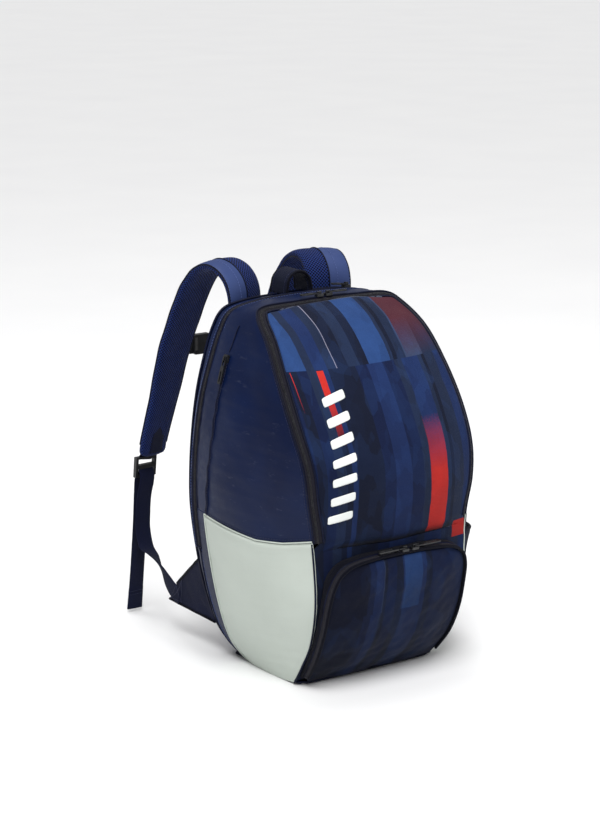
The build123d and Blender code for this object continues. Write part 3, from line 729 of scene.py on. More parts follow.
def make_rear_zip():
    """Coil zip round the racket compartment, with piping and topstitching on both sides."""
    u = np.linspace(ZIP_END_U, FAR_U - ZIP_END_U, 420)
    rear, across, outward, gap = rear_zip_frame(u)
    tape, coil, cords, sewn = (Build("rear_zip_" + n) for n in ("tape", "coil", "piping", "stitches"))
    reach = np.linspace(0.15, 3.9, len(TAPE_RIDGES)) * MM

    for sign, shift in ((-1, gap), (1, gap * 0)):

        def beside(distance, lift):
            """The zip's line moved sideways and outwards."""
            return rear + sign * across * (distance * MM + shift) + outward * lift * MM

        tape.grid(rear[:, None] + sign * across[:, None] * (reach[None, :, None] + shift[:, None])
                  + outward[:, None] * (TAPE_RIDGES[None, :, None] - 0.3 * MM))
        coil_line(coil, beside(0.7, 0.35), across, outward, (1.9, 0.95, 1.1), between=sign > 0)
        cords.tube(beside(4.5, 0.5), 1.15 * MM, normal=outward)
        stitch_line(sewn, beside(7.4, 0.75), normals=outward)
    for first, last, end in ((0, ZIP_END_U, -1), (FAR_U - ZIP_END_U, FAR_U, 0)):
        low_rear, low_across, low_out, _ = rear_zip_frame(np.linspace(first, last, 60))
        cords.tube(low_rear + low_out * 0.1 * MM, 0.9 * MM, normal=low_out)
        stitch_line(sewn, low_rear + low_across * 4.0 * MM + low_out * 0.7 * MM, normals=low_out)
        tack = np.linspace(-6, 6, 9)[:, None] * MM * low_across[end]
        bar = low_rear[end] + tack + low_out[end] * 0.6 * MM
        cords.tube(bar, 1.3 * MM, normal=np.tile(low_out[end], (9, 1)))
    tape.make([ZIP_TAPE], "bag", ["rear_zip"], "zip", 0.7 * MM)
    coil.trim(ZIP_COIL, slot_name="zip")
    cords.trim(PIPING)
    sewn.trim(LIGHT_THREAD)


def make_back_piping():
    """Piping where the gusset meets the back panel."""
    u = np.linspace(0.1, FAR_U - 0.1, 320)
    line = curve(BACK_LINE, u) + [0, 2.2 * MM, 0]
    line = line + unit((line - SHELL_CENTRE) * [1, 0, 1]) * 1.0 * MM
    Build("back_piping").tube(line, 1.8 * MM).trim(PIPING)


# ---- front zip ----
def make_front_zip():
    """Two ribbed tapes with their coils: one rides on the bag, the other on the front panel."""
    u = np.linspace(SEAM_U, FAR_U - SEAM_U, 460)
    front, across, inward = bevel(u)
    ridge = 0.28 * np.abs(np.sin(np.linspace(0, 3.5 * math.pi, 15))) * MM
    for body, name, near, far, teeth, cord_at in (("bag", "front_zip_bag", 0.6, 5.75, 5.2, 0.3),
                                                  ("front_panel", "front_zip_panel", 6.25, 12.6, 6.8, 13.0)):
        reach = np.linspace(near, far, 15) * MM
        points = (front[:, None] + across[:, None] * reach[None, :, None]
                  - inward[:, None] * (ridge - 0.1 * MM)[None, :, None])
        Build(name + "_tape").grid(points).make([ZIP_TAPE], body, [name], "zip", 0.8 * MM)
        line = front + across * teeth * MM - inward * 0.55 * MM
        coil_line(Build(name + "_coil"), line, across, -inward, (1.7, 0.95, 1.1),
                  between=body == "bag").trim(ZIP_COIL, body, "zip")
        cord = front + across * (cord_at * MM) - inward * 0.5 * MM
        Build(name + "_piping").tube(cord, 1.3 * MM, normal=-inward).trim(PIPING, body)
    sewn = Build("front_zip_stitches")
    stitch_line(sewn, side_surface(u, np.full(u.shape, 0.985), 0.75 * MM))
    sewn.trim(DARK_THREAD)


# ---- front panel ----
PANEL_STEP_Z = 418 * MM
WALL_ROWS = [(111.5, -47, 4), (113, -65, 30), (115, -88, 70), (118.5, -104, 130), (121.5, -103, 182),
             (122.5, -102, 198)]


def profile_normals(line):
    """Outward normals of the front profile in the YZ plane."""
    run = np.gradient(line, axis=0)
    return unit(np.stack([0 * run[:, 0], -run[:, 2], run[:, 1]], 1))


def front_panel_points():
    """Rows of the front panel, from behind the pocket up to the top zip."""
    _, across, _ = bevel(np.arange(FAR_U + 1))
    edge = (hoop_points(2) + across * PANEL_EDGE)[15:23][::-1]
    edge[0, 2] = FOLD_Z
    crowns = np.array([13, 17, 17, 17, 17, 14, 10, 5]) * MM
    at = np.linspace(0, len(edge) - 1, 150)
    line = curve(edge, at)
    crown = curve(crowns[:, None], at)
    wall = np.array(WALL_ROWS) * MM
    wall_at = np.linspace(0, len(wall) - 1, 40)
    line = np.vstack([curve(wall, wall_at), line])
    bulge = smooth_step(line[:40, 2:], 120 * MM, 206 * MM) * 12.5 * MM
    crown = np.vstack([bulge, crown])
    facing = profile_normals(line * [0, 1, 1])
    facing[-1] = unit(facing[-1] + [0, 0, 2.0])
    f = np.linspace(-1, 1, 91)
    dome = 1 - np.abs(f[None, :, None]) ** 2.2
    return spread(line, f) + facing[:, None] * crown[:, None] * dome, f


def make_front_panel():
    points, f = front_panel_points()
    normals = grid_normals(points, np.array([0, 0.05, 0.25]))
    inside = np.minimum(1, (1 - np.abs(f)) * 9)[None, :, None]
    soft = ripple(points, 0.085, 31, (0.8, 1, 1.3)) * 1.0 * MM
    fold = ripple(points, 0.03, 33, (0.4, 1, 2.0)) * 0.35 * MM
    points = points + normals * ((soft + fold)[..., None] * inside)
    panel = Build("front_panel_fabric").grid(points).make(
        [FRONT_PRINT, LINING], None, ["front_panel", "front_wall"], "print_fabric", 2.0 * MM)
    add_print_map(panel, points)
    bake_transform(panel)
    return points


def add_uv(obj, name, flat):
    """Coordinates for a material, one pair for each vertex."""
    index = np.zeros(len(obj.data.loops), int)
    obj.data.loops.foreach_get("vertex_index", index)
    layer = obj.data.uv_layers.new(name=name)
    layer.data.foreach_set("uv", flat[index].astype(np.float32).ravel())


def add_print_map(obj, points):
    """Place across, and height, for the printed stripes."""
    add_uv(obj, "print", points[..., [0, 2]].reshape(-1, 2))


FRONT_PRINT = striped_print("front_print", [
    (0, [(-150, NAVY), (-121, DEEP_SLATE), (-110, NAVY), (-97, SLATE), (-84, DEEP_SLATE), (-75, BLUE),
         (-69, DEEP_SLATE), (-29, NAVY), (-11, BLUE), (15, NAVY), (35, SLATE), (47, BLUE), (77, SLATE),
         (84, DEEP_SLATE), (90, SLATE), (108, BLUE)]),
    (PANEL_STEP_Z / MM, [(-150, MID_BLUE), (-97, SLATE), (-86, BLUE), (-69, SLATE), (-55.5, PALE_LINE),
                         (-54.6, DEEP_SLATE), (-38, SLATE), (-20, DEEP_SLATE), (-6, MID_BLUE), (30, SLATE),
                         (36, DEEP_SLATE), (43, SLATE), (57, HAZE_BLUE), (88, SLATE)]),
], [
    (-84, -75, 330, 417, RED, 70),
    (-117.5, -116.6, 370, 417, RED, 50),
    (47, 77, 350, 197, RED, -90),
    (97, 150, 203, 180, RED, 0),
    (60, 120, 418, 520, MAROON, 60),
])

MARK_ROWS = 7


def make_mark(points):
    """A plain column of white transfer bars on the left of the front panel."""
    rows, cols = points.shape[:2]
    normals = grid_normals(points, np.array([0, 0.05, 0.25]))
    middle = points[:, cols // 2, 2]
    film = Build("white_bars")
    for k in range(MARK_ROWS):
        share = k / (MARK_ROWS - 1)
        z = (388 - 148 * share) * MM
        centre_x = (-74 - 18 * share) * MM
        s = np.linspace(-1, 1, 18)
        v = np.linspace(-1, 1, 8)
        s, v = np.meshgrid(s, v)
        trim = 1 - 0.05 * np.abs(v) ** 6
        x = centre_x + s * 16.5 * MM * trim
        height = z + v * 5.5 * MM * (1 - 0.12 * np.abs(s) ** 10) + s * 3.0 * MM
        row = np.interp(height, middle, np.arange(rows))
        i = np.clip(row.astype(int), 0, rows - 2)
        edge = points[i, -1, 0]
        col = np.clip((x / edge + 1) / 2 * (cols - 1), 0, cols - 1.001)
        j = col.astype(int)
        a, b = (row - i)[..., None], (col - j)[..., None]
        place = ((points[i, j] * (1 - a) + points[i + 1, j] * a) * (1 - b)
                 + (points[i, j + 1] * (1 - a) + points[i + 1, j + 1] * a) * b)
        film.grid(place + normals[i, j] * 0.55 * MM)
    film.make([WHITE_FILM], "front_panel", (), "pu_light", 0.3 * MM)


# ---- front pocket ----
POCKET = np.array([(97, -55, 3), (104, -64, 13), (108, -89, 46), (109, -107, 85), (108, -118, 126),
                   (105, -124, 149), (97, -127, 165), (79, -128, 175)], float) * MM
POCKET_CROWNS = np.array([1, 4, 10, 13, 13, 11, 8, 4]) * MM
POCKET_TOP = np.array([(79, -128, 175), (45, -128, 179), (0, -128, 180)], float) * MM
POCKET_CENTRE = np.array([0, -60, 90]) * MM


def pocket_outline():
    """The pocket's edge from the left foot, over the top, to the right foot."""
    half = np.vstack([POCKET[1:], POCKET_TOP[1:]])
    path = np.vstack([half * [-1, 1, 1], half[-2::-1]])
    line = smooth(path, 420)
    line = resample(line, 1.6 * MM)[0]
    tangent = direction(line)
    outward = unit(np.cross([0, 1, 0], tangent))
    outward = np.where(dot(outward, line - [0, -0.08, 0.09]) < 0, -outward, outward)
    return line, outward


def make_pocket_face():
    at = np.linspace(0, len(POCKET) - 1, 110)
    line = curve(POCKET, at)
    crown = curve(POCKET_CROWNS[:, None], at)
    facing = profile_normals(line)
    facing[-1] = unit(facing[-1] + [0, 0, 1.5])
    f = np.linspace(-1, 1, 81)
    dome = 1 - np.abs(f[None, :, None]) ** 3.0
    points = spread(line, f) + facing[:, None] * crown[:, None] * dome
    normals = grid_normals(points, POCKET_CENTRE)
    inside = np.minimum(1, (1 - np.abs(f)) * 7)[None] * np.minimum(1, (1 - at / at[-1]) * 9)[:, None]
    soft = ripple(points, 0.075, 41, (0.9, 1, 1.2)) * 1.3 * MM
    fold = ripple(points, 0.026, 43, (1.4, 1, 1.1)) * 0.55 * MM
    points = points + normals * ((soft + fold) * inside)[..., None]
    face = Build("pocket_face").grid(points).make(
        [POCKET_PRINT, LINING], None, ["pocket_flap"], "print_fabric", 2.0 * MM)
    add_print_map(face, points)
    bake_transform(face)


def wall_y(z):
    """The sloping wall behind the pocket."""
    return curve(np.array(WALL_ROWS)[:, 1:2] * MM,
                 np.interp(z, np.array(WALL_ROWS)[:, 2] * MM, range(len(WALL_ROWS))))


def make_pocket_edge():
    """Zip, piping and gusset round the pocket."""
    line, outward = pocket_outline()
    forward = np.array([0, -1.0, 0])
    rim = line + outward * 1.0 * MM + forward * 2.6 * MM
    Build("pocket_piping").tube(rim, 1.9 * MM, normal=outward).trim(BINDING, "pocket_flap")
    for body, near, far, teeth in (("pocket_flap", 2.6, -1.0, -0.4), ("bag", -1.3, -6.5, -1.9)):
        reach = np.linspace(near, far, len(TAPE_RIDGES)) * MM
        strip = (line[:, None] + forward * reach[None, :, None]
                 + outward[:, None] * (2.7 * MM + TAPE_RIDGES)[None, :, None])
        Build("pocket_zip_tape_" + body).grid(strip).make([ZIP_TAPE], body, (), "zip", 0.6 * MM)
        coil = line + forward * teeth * MM + outward * 3.0 * MM
        coil_line(Build("pocket_zip_coil_" + body), coil, np.broadcast_to(forward, line.shape), outward,
                  (1.5, 0.9, 1.0), 1.5 * MM, body == "bag").trim(ZIP_COIL, body, "zip")
    front = line + outward * 3.0 * MM - forward * 6.3 * MM
    wall = front.copy()
    wall[:, 1:2] = np.maximum(wall_y(line[:, 2]) - 1.5 * MM, front[:, 1:2] + 1 * MM)
    s = np.linspace(0, 1, 9)[None, :, None]
    band = front[:, None] * (1 - s) + wall[:, None] * s + outward[:, None] * (np.sin(math.pi * s) * 1.2 * MM)
    band = band + outward[:, None] * (ripple(band, 0.03, 47) * 0.4 * MM)[..., None]
    Build("pocket_band").grid(band).make([BINDING, BINDING], "bag", ["pocket_gusset"], "binding", 1.4 * MM)
    Build("pocket_band_piping").tube(front + outward * 0.5 * MM, 1.1 * MM, normal=outward).trim(PIPING)
    sewn = Build("pocket_stitches")
    stitch_line(sewn, line + outward * 3.4 * MM - forward * 8.6 * MM, 3.6 * MM, normals=outward)
    sewn.trim(DARK_THREAD)


POCKET_PRINT = striped_print("pocket_print", [
    (0, [(-150, DARK_NAVY), (-60, NAVY), (-50, BLUE), (-36, SLATE), (-33, DEEP_SLATE), (-28, NAVY),
         (-12, DEEP_SLATE), (0, BLUE), (34, DEEP_SLATE), (46, NAVY)]),
    (105, [(-150, DARK_NAVY), (-56, NAVY), (-46, BLUE), (-33, HAZE_BLUE), (-32, DEEP_SLATE), (-28, NAVY),
           (-14, DEEP_SLATE), (-3, BLUE), (0, MID_BLUE), (27, BLUE), (34, DEEP_SLATE), (44, NAVY)]),
], [])


# ---- base, back and interior ----
def make_base():
    """Bottom panel with its piping, turned up a little at the edge."""
    outline = np.array([(0, -57), (86, -56), (101, -51), (110, -42), (111, 30), (110, 80), (100, 98),
                        (0, 99)], float) * MM
    path = np.vstack([outline, outline[-2:0:-1] * [-1, 1]])
    ring = curve(np.vstack([path, path[:1]]), np.linspace(0, len(path), 161))[:-1]
    rows = []
    for k in np.linspace(0.02, 1, 14):
        flat = np.column_stack([ring * k, np.full(len(ring), 1.0 * MM)])
        flat[:, 2] += (smooth_step(k, 0.93, 1.0) * 2.2 + 0.25 * np.sin(k * 9)) * MM
        rows.append(flat)
    Build("base_fabric").grid(np.array(rows), wrap=True).make(
        [NAVY_PU], "bag", ["base_panel", "pocket_floor"], "pu_navy", 1.0 * MM)
    rim = np.column_stack([ring, np.full(len(ring), 3.2 * MM)])
    rim = np.vstack([rim, rim[:1]])
    Build("base_piping").tube(rim, 1.6 * MM).trim(PIPING)


def make_back_panel():
    """Fabric sheet that fills the back seam, with two sewn channels between the pads."""
    edge = curve(BACK_LINE, FAR_U - np.linspace(0.05, TOP_U - 0.03, 90))
    x = np.maximum(edge[:, 0], 0.5 * MM)
    y = np.maximum(edge[:, 1] + 2.6 * MM, 0)
    z = np.clip(edge[:, 2], 4 * MM, 483 * MM)
    f = np.linspace(-1, 1, 61)
    points = spread(np.stack([x, y, z], 1), f)
    points[..., 1] += ripple(points, 0.06, 51) * 0.5 * MM * (1 - f ** 8)
    Build("back_panel_mesh").grid(points).make(
        [BACK_CLOTH, BACK_CLOTH], "bag", ["back_panel"], "mesh", -0.1 * MM)
    lines = Build("back_panel_channels")
    for x in (-10, 10):
        z = np.linspace(60, 420, 120) * MM
        line = np.stack([np.full(120, x * MM), np.full(120, 122.2 * MM), z], 1)
        lines.tube(line, 0.9 * MM)
    lines.trim(BINDING)


DIVIDER = np.array([(104, 76, 8), (136, 88, 80), (152, 90, 207), (153, 90, 300), (142, 88, 370),
                    (122, 82, 430), (96, 76, 462)], float) * MM


def make_divider():
    """Padded wall of the racket compartment, quilted in wide channels."""
    line = curve(DIVIDER, np.linspace(0, 6, 90))
    f = np.linspace(-1, 1, 60)
    points = spread(line, f)
    points[..., 1] -= 2 * MM
    puff = np.abs(np.sin(points[..., 0] / (46 * MM) * math.pi)) ** 0.5 * (1 - f ** 10)
    quilt = points.copy()
    quilt[..., 1] -= puff * 2.0 * MM
    rear = points.copy()
    rear[..., 1] += puff * 1.0 * MM
    closed = np.concatenate([quilt, rear[:, ::-1]], 1)
    wall = Build("padded_divider").grid(closed, wrap=True, caps=True).make(
        [LINING], "bag", ["divider_panel"], "lining")


# ---- padded pieces ----
PAD_SHRINK = 0.975         # the pads start smaller than their CAD solids, because they swell
PAD_FLATTEN = 0.72
PAD_LIFT = 0.4 * MM
VOXEL = 5 * MM
PRESSURE = 4
CLOTH_FRAMES = 20
CHANNEL_WIDTH = 3.2 * MM
CHANNEL_DEPTH = 4.5 * MM


def inflate(name, node, material, cap, channels, keep_y):
    """A foam pad blown up as cloth from a slightly smaller copy of its CAD solid."""
    low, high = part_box(node)
    centre = (low + high) / 2
    obj = bpy.data.objects.new(name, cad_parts[node].data.copy())
    bpy.context.scene.collection.objects.link(obj)
    for v in obj.data.vertices:
        v.co = Vector(((v.co.x - centre.x) * PAD_SHRINK + centre.x,
                       (v.co.y - low.y) * PAD_FLATTEN + low.y + PAD_LIFT,
                       (v.co.z - centre.z) * PAD_SHRINK + centre.z))
    bpy.context.view_layer.objects.active = obj
    for other in bpy.context.selected_objects:
        other.select_set(False)
    obj.select_set(True)
    mesh_again = obj.modifiers.new("remesh", "REMESH")
    mesh_again.mode = "VOXEL"
    mesh_again.voxel_size = VOXEL
    bpy.ops.object.modifier_apply(modifier=mesh_again.name)
    start = np.array([v.co for v in obj.data.vertices])
    cloth = obj.modifiers.new("cloth", "CLOTH")
    cloth.settings.use_pressure = True
    cloth.settings.uniform_pressure_force = PRESSURE
    cloth.settings.effector_weights.gravity = 0
    for step in range(1, CLOTH_FRAMES + 1):
        bpy.context.scene.frame_set(step)
    bpy.ops.object.modifier_apply(modifier=cloth.name)
    bpy.context.scene.frame_set(1)
    moved = np.array([v.co for v in obj.data.vertices]) - start
    size = np.linalg.norm(moved, axis=1, keepdims=True)
    end = start + moved * np.minimum(1, cap / np.maximum(size, 1e-9))
    end[:, 1] = np.maximum(end[:, 1], keep_y)
    outer = smooth_step(end[:, 1], keep_y + 4 * MM, keep_y + 8 * MM)
    for axis, place in channels:
        end[:, 1] -= outer * np.exp(-((end[:, axis] - place) / CHANNEL_WIDTH) ** 2) * CHANNEL_DEPTH
    for v, co in zip(obj.data.vertices, end):
        v.co = co
    obj.data.materials.clear()
    obj.data.materials.append(material)
    add_uv(obj, "cloth", end[:, [0, 2]])
    obj.data.polygons.foreach_set("use_smooth", [True] * len(obj.data.polygons))
    obj.modifiers.new("smooth", "SUBSURF").levels = 1
    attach(obj, "bag")
    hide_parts(node)
    return obj


def make_pads():
    for label in ("left", "right"):
        low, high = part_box("back_pad_" + label)
        lines = [(2, low.z + (high.z - low.z) * s) for s in (0.25, 0.5, 0.75)]
        inflate("air_pad_" + label, "back_pad_" + label, BLACK_MESH, 7 * MM, lines, low.y)
        rim_of_pad("pad_binding_" + label, low, high, 22 * MM)
    low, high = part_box("lumbar_pad")
    inflate("air_pad_lumbar", "lumbar_pad", BLACK_MESH, 7 * MM, [(0, -33 * MM), (0, 33 * MM)], low.y)
    rim_of_pad("pad_binding_lumbar", low, high, 20 * MM)
    low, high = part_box("strap_yoke")
    inflate("yoke_pad", "strap_yoke", NAVY_PU, 4 * MM, [], low.y)


def rim_of_pad(name, low, high, corner):
    """Bound edge of a pad where it is sewn to the back panel."""
    ring = []
    for cx, cz, a0 in ((high.x - corner, high.z - corner, 0), (low.x + corner, high.z - corner, 90),
                       (low.x + corner, low.z + corner, 180), (high.x - corner, low.z + corner, 270)):
        for a in np.radians(np.linspace(a0, a0 + 90, 12)):
            ring.append((cx + corner * math.cos(a), low.y + 0.9 * MM, cz + corner * math.sin(a)))
    ring = np.array(ring + ring[:1])
    Build(name).tube(resample(ring, 4 * MM)[0], 1.5 * MM).trim(BINDING)


# ---- shoulder harness ----
WEB_WIDTH = 25 * MM
STRAP_TILT = math.radians(15)
STRAP = np.array([(-64, 136, 452), (-64, 138.5, 471), (-65, 141, 490), (-67, 149, 506), (-70, 165, 517.5),
                  (-73, 186, 520), (-76, 208, 511), (-79, 229, 490), (-82, 246, 461), (-87, 263, 421),
                  (-92, 276, 382), (-100, 291, 315), (-106, 301, 272), (-108.5, 305, 252),
                  (-110, 307, 234)], float) * MM
WEB_LINE = np.array([(-115.8, 315, 214), (-115.5, 311.6, 205), (-117, 311.3, 193), (-119.5, 312.5, 180),
                     (-121, 313.5, 166), (-122.5, 313, 148), (-124, 311, 126), (-126, 299, 105),
                     (-128, 278, 97), (-130, 254, 85), (-132, 234, 72), (-133, 217, 63),
                     (-133.5, 200, 58)], float) * MM
LOCK_LOOP = np.array([(-112, 308, 244), (-114, 313.5, 235), (-116, 317.5, 227)], float) * MM
WEB_START = np.array([math.cos(math.radians(5)), math.sin(math.radians(5)), 0])
WEB_FINISH = np.array([0, 0.607, -0.795])
TAIL_LINE = np.array([(-116.5, 318.5, 211), (-117, 323, 199), (-118, 324, 180), (-120, 325, 140),
                      (-122, 328, 95), (-124, 332, 45), (-125, 336.5, 4)], float) * MM


def swept(line, wide, section):
    """Points of a section carried along a line; section holds (across, thick) for each row."""
    tangent = direction(line)
    wide = square_to(wide, tangent)
    thick = unit(np.cross(tangent, wide))
    return line[:, None] + wide[:, None] * section[..., :1] + thick[:, None] * section[..., 1:]


def webbing_band(line, wide, width, thickness):
    """Rings of points of a flat band carried along a line; wide is the direction of its width."""
    rings = np.tile(flat_section(width, thickness), (len(line), 1, 1))
    return swept(line, np.broadcast_to(wide, line.shape), rings)


def flat_section(width, thickness, count=20, square=0.28):
    """Rounded flat section, as one ring."""
    a = np.linspace(0, 2 * math.pi, count, endpoint=False)
    return np.stack([np.sign(np.cos(a)) * np.abs(np.cos(a)) ** square * width / 2,
                     np.sign(np.sin(a)) * np.abs(np.sin(a)) ** 0.8 * thickness / 2], 1)


def make_strap(side):
    """Shoulder strap: foam, mesh on the inside and by the neck, coated fabric on the outer half."""
    label, mirror = side_names(side)
    line = smooth(STRAP, 300)
    line, = resample(line, 3.0 * MM)
    n = len(line)
    far = lengths_of(line)
    total = far[-1]
    if side > 0:
        line[:, 0] -= 9 * MM * (1 - smooth_step(far, total * 0.28, total * 0.5))
    last_part = np.clip((total - far) / (10 * MM), 0, 1)
    end = np.sqrt(last_part * (2 - last_part))
    width = (31.5 - 7.0 * smooth_step(far, total * 0.5, total)) * MM * (0.55 + 0.45 * end)
    height = 6.2 * MM * np.maximum(end ** 0.6, 0.25) * (0.55 + 0.45 * smooth_step(far, 0, 0.05))
    a = np.linspace(0, 2 * math.pi, 40, endpoint=False)
    x = np.sign(np.cos(a)) * np.abs(np.cos(a)) ** 0.55
    y = np.sign(np.sin(a)) * np.abs(np.sin(a)) ** 0.75
    section = np.stack([width[:, None] * x, height[:, None] * y], -1)
    wide = np.broadcast_to([math.cos(STRAP_TILT), math.sin(STRAP_TILT), 0.0], (n, 3))
    points = swept(line, wide, section)
    outer = (np.sin(a) < -0.25) & (x < 0.08)
    slots = [1 if outer[k] and outer[(k + 1) % 40] else 0 for k in range(40)]
    way = unit(points - line[:, None])
    points = points + way * (ripple(points, 0.05, 61) * 0.5 * MM)[..., None]
    strap = Build("strap_pad_" + label).grid(points * mirror, wrap=True, caps=True, slots=slots).make(
        [NAVY_MESH, STRAP_PU], "harness", ["shoulder_strap_" + label], "strap_pu")
    trim = Build("strap_seams_" + label)
    last = outer.nonzero()[0]
    for stop, column, lift, radius in ((-8, last[-1], 0.3, 1.0), (-6, last[0], 0.4, 1.1), (-6, 3, 0.2, 0.9)):
        cord = points[4:stop, column] + way[4:stop, column] * lift * MM
        trim.tube(cord * mirror, radius * MM)
    trim.trim(PIPING, "harness")
    sewn = Build("strap_stitches_" + label)
    for column in (last[-1] - 1, last[0] + 1):
        row = points[6:-10, column] + way[6:-10, column] * 0.35 * MM
        stitch_line(sewn, row * mirror, normals=way[6:-10, column] * mirror)
    sewn.trim(LIGHT_THREAD, "harness")
    loop, = resample(curve(LOCK_LOOP, np.linspace(0, 2, 40)), 2 * MM)
    held = webbing_band(loop, WEB_START, WEB_WIDTH, 2.4 * MM)
    Build("lock_loop_" + label).grid(held * mirror, wrap=True, caps=True).trim(WEBBING, "harness", "webbing")
    patch = Build("strap_end_patch_" + label)
    rows = line[-16:-2]
    fade = np.linspace(0.9, 1.0, len(rows))[:, None, None]
    taper = np.concatenate([fade, fade ** 3 * np.linspace(1.0, 0.86, len(rows))[:, None, None]], -1)
    for sign in (-1, 1):
        flat = np.stack([np.linspace(-0.8, 0.8, 9) * 15 * MM, np.full(9, sign * 6.9 * MM)], -1)
        patch.grid(swept(rows, wide[-16:-2], flat[None] * taper) * mirror)
    patch.make([WEBBING], "harness", (), "webbing", 0.8 * MM)


def make_webbing(side):
    """Adjusting webbing: from the strap's end, through the lock, turning over to the anchor wing."""
    label, mirror = side_names(side)
    line, = resample(smooth(WEB_LINE, 260), 2.5 * MM)
    n = len(line)
    share = np.linspace(0, 1, n)
    turn = smooth_step(share, 0.40, 0.95)[:, None]
    wide = unit(WEB_START * (1 - turn) + WEB_FINISH * turn)
    points = webbing_band(line, wide, WEB_WIDTH, 1.9 * MM)
    web = Build("webbing_" + label).grid(points * mirror, wrap=True, caps=True).make(
        [WEBBING], None, ["strap_webbing_" + label, "lower_webbing_" + label], "webbing")
    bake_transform(web)
    line, = resample(smooth(TAIL_LINE, 200), 2.5 * MM)
    n = len(line)
    thick = 1 + 1.1 * smooth_step(np.linspace(0, 1, n), 0.845, 0.855)
    section = flat_section(WEB_WIDTH, 1.8 * MM)[None] * np.stack([np.ones(n), thick], 1)[:, None]
    sway = np.linspace(0, 1, n)[:, None]
    wide = unit(np.array([1.0, 0, 0]) + sway * np.array([0, 0.2, 0.0]) * np.sin(sway * 3.0))
    tail = swept(line, wide, section)
    Build("tail_" + label).grid(tail * mirror, wrap=True, caps=True).make(
        [WEBBING], "tail_" + label, ["webbing_tail_" + label], "webbing")
    sewn = Build("tail_stitches_" + label)
    tangent = direction(line)
    facing = unit(np.cross(tangent, wide))
    for sign in (-1, 1):
        for row in (int(n * 0.865), int(n * 0.885)):
            cross = np.linspace(-10, 10, 20)[:, None] * MM * wide[row] + facing[row] * sign * 2.1 * MM
            stitch_line(sewn, (line[row] + cross) * mirror, 3.0 * MM, 2.2 * MM,
                        np.tile(facing[row] * sign * mirror, (20, 1)))
    sewn.trim(DARK_THREAD, "tail_" + label)


WING_CORNERS = [[(127, 120, 43), (153, 120, 137)], [(133, 227, 49), (133, 207, 76.5)]]


def make_wing(side):
    """Sewn triangle that anchors the webbing at the foot of the back seam."""
    label, mirror = side_names(side)
    mirror = mirror * [-1, 1, 1]
    root, tip = np.array(WING_CORNERS, float) * MM
    along, v = np.linspace(0, 1, 40)[:, None, None], np.linspace(0, 1, 25)[None, :, None]

    def place_at(s, w):
        """Points of the wing: s from the bag to the webbing, w from the lower edge to the upper."""
        return (root[0] * (1 - w) + root[1] * w) * (1 - s) + (tip[0] * (1 - w) + tip[1] * w) * s

    sheet = place_at(along, v)
    sheet[..., 0] += ripple(sheet, 0.04, 71) * 1.0 * MM * np.linspace(1, 0.3, 40)[:, None]
    Build("wing_" + label).grid(sheet * mirror).make(
        [NAVY_CLOTH, NAVY_CLOTH], "bag", ["anchor_wing_" + label], "webbing", 2.2 * MM)
    trim = Build("wing_binding_" + label)
    for column in (0, -1):
        trim.tube(sheet[:, column] * mirror, 1.9 * MM)
    trim.trim(BINDING)
    sewn = Build("wing_stitches_" + label)
    corners = [(0.72, 0.12), (0.72, 0.88), (0.96, 0.88), (0.96, 0.12), (0.72, 0.12), (0.96, 0.88),
               (0.72, 0.88), (0.96, 0.12)]
    for face in (-1, 1):
        for (a, b), (c, d) in zip(corners, corners[1:]):
            s, w = np.linspace(a, c, 30)[:, None], np.linspace(b, d, 30)[:, None]
            line = place_at(s, w) + [face * 2.9 * MM - (0.4 * MM if face > 0 else -1 * MM), 0, 0]
            stitch_line(sewn, line * mirror, 3.4 * MM, 2.6 * MM, np.tile([face * side, 0.0, 0.0], (30, 1)))
    sewn.trim(DARK_THREAD)


def make_chest_webbing():
    low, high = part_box("sternum_webbing")
    x = np.linspace(low.x, high.x, 50)
    y = (low.y + high.y) / 2 + 0.6 * MM * np.sin(np.linspace(0, math.pi, 50))
    line = np.stack([x, y, np.full(50, (low.z + high.z) / 2)], 1)
    points = webbing_band(line, [0.0, 0, 1.0], 19.5 * MM, 1.7 * MM)
    Build("chest_webbing").grid(points, wrap=True, caps=True).make(
        [WEBBING], "chest_strap", ["sternum_webbing"], "webbing")


def make_handle():
    """Grab handle: a tight loop of wide webbing with bound edges."""
    low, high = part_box("grab_handle")
    half = 18.5 * MM
    y = (low.y + high.y) / 2
    top = high.z - 2.5 * MM
    angles = np.linspace(math.pi, 0, 40)
    arch = np.stack([half * np.cos(angles), np.full(40, y), top - half + half * np.sin(angles)], 1)
    foot = low.z - 6 * MM
    legs = np.linspace(foot, top - half, 14)[:-1]
    left = np.stack([-half - 1.5 * MM * smooth_step(legs, foot + 0.02, foot), np.full(13, y), legs], 1)
    line = np.vstack([left, arch, (left * [-1, 1, 1])[::-1]])
    line, = resample(line, 2 * MM)
    line[:, 0] += (low.x + high.x) / 2
    n = len(line)
    section = np.broadcast_to(flat_section(38 * MM, 3.4 * MM, 28, 0.2), (n, 28, 2)).copy()
    section[..., 0] *= (1 - 0.10 * np.sin(np.linspace(0, math.pi, n)) ** 2)[:, None]
    points = swept(line, np.tile([0, 1.0, 0], (n, 1)), section)
    Build("handle_loop").grid(points, wrap=True, caps=True).make(
        [HANDLE_WEB], "bag", ["grab_handle"], "webbing")
    trim = Build("handle_binding")
    for sign in (-1, 1):
        offset = np.zeros((n, 3))
        offset[:, 1] = sign * section[:, 0, 0]
        trim.tube(line + offset, 2.0 * MM)
    trim.trim(BINDING)
    sewn = Build("handle_stitches")
    tangent = direction(line)
    facing = unit(np.cross(tangent, [0, 1.0, 0]))
    for face in (-1, 1):
        for sign in (-1, 1):
            row = line + facing * face * 1.9 * MM + np.array([0, sign * 13 * MM, 0])
            stitch_line(sewn, row, 3.6 * MM, normals=facing * face)
    sewn.trim(DARK_THREAD)


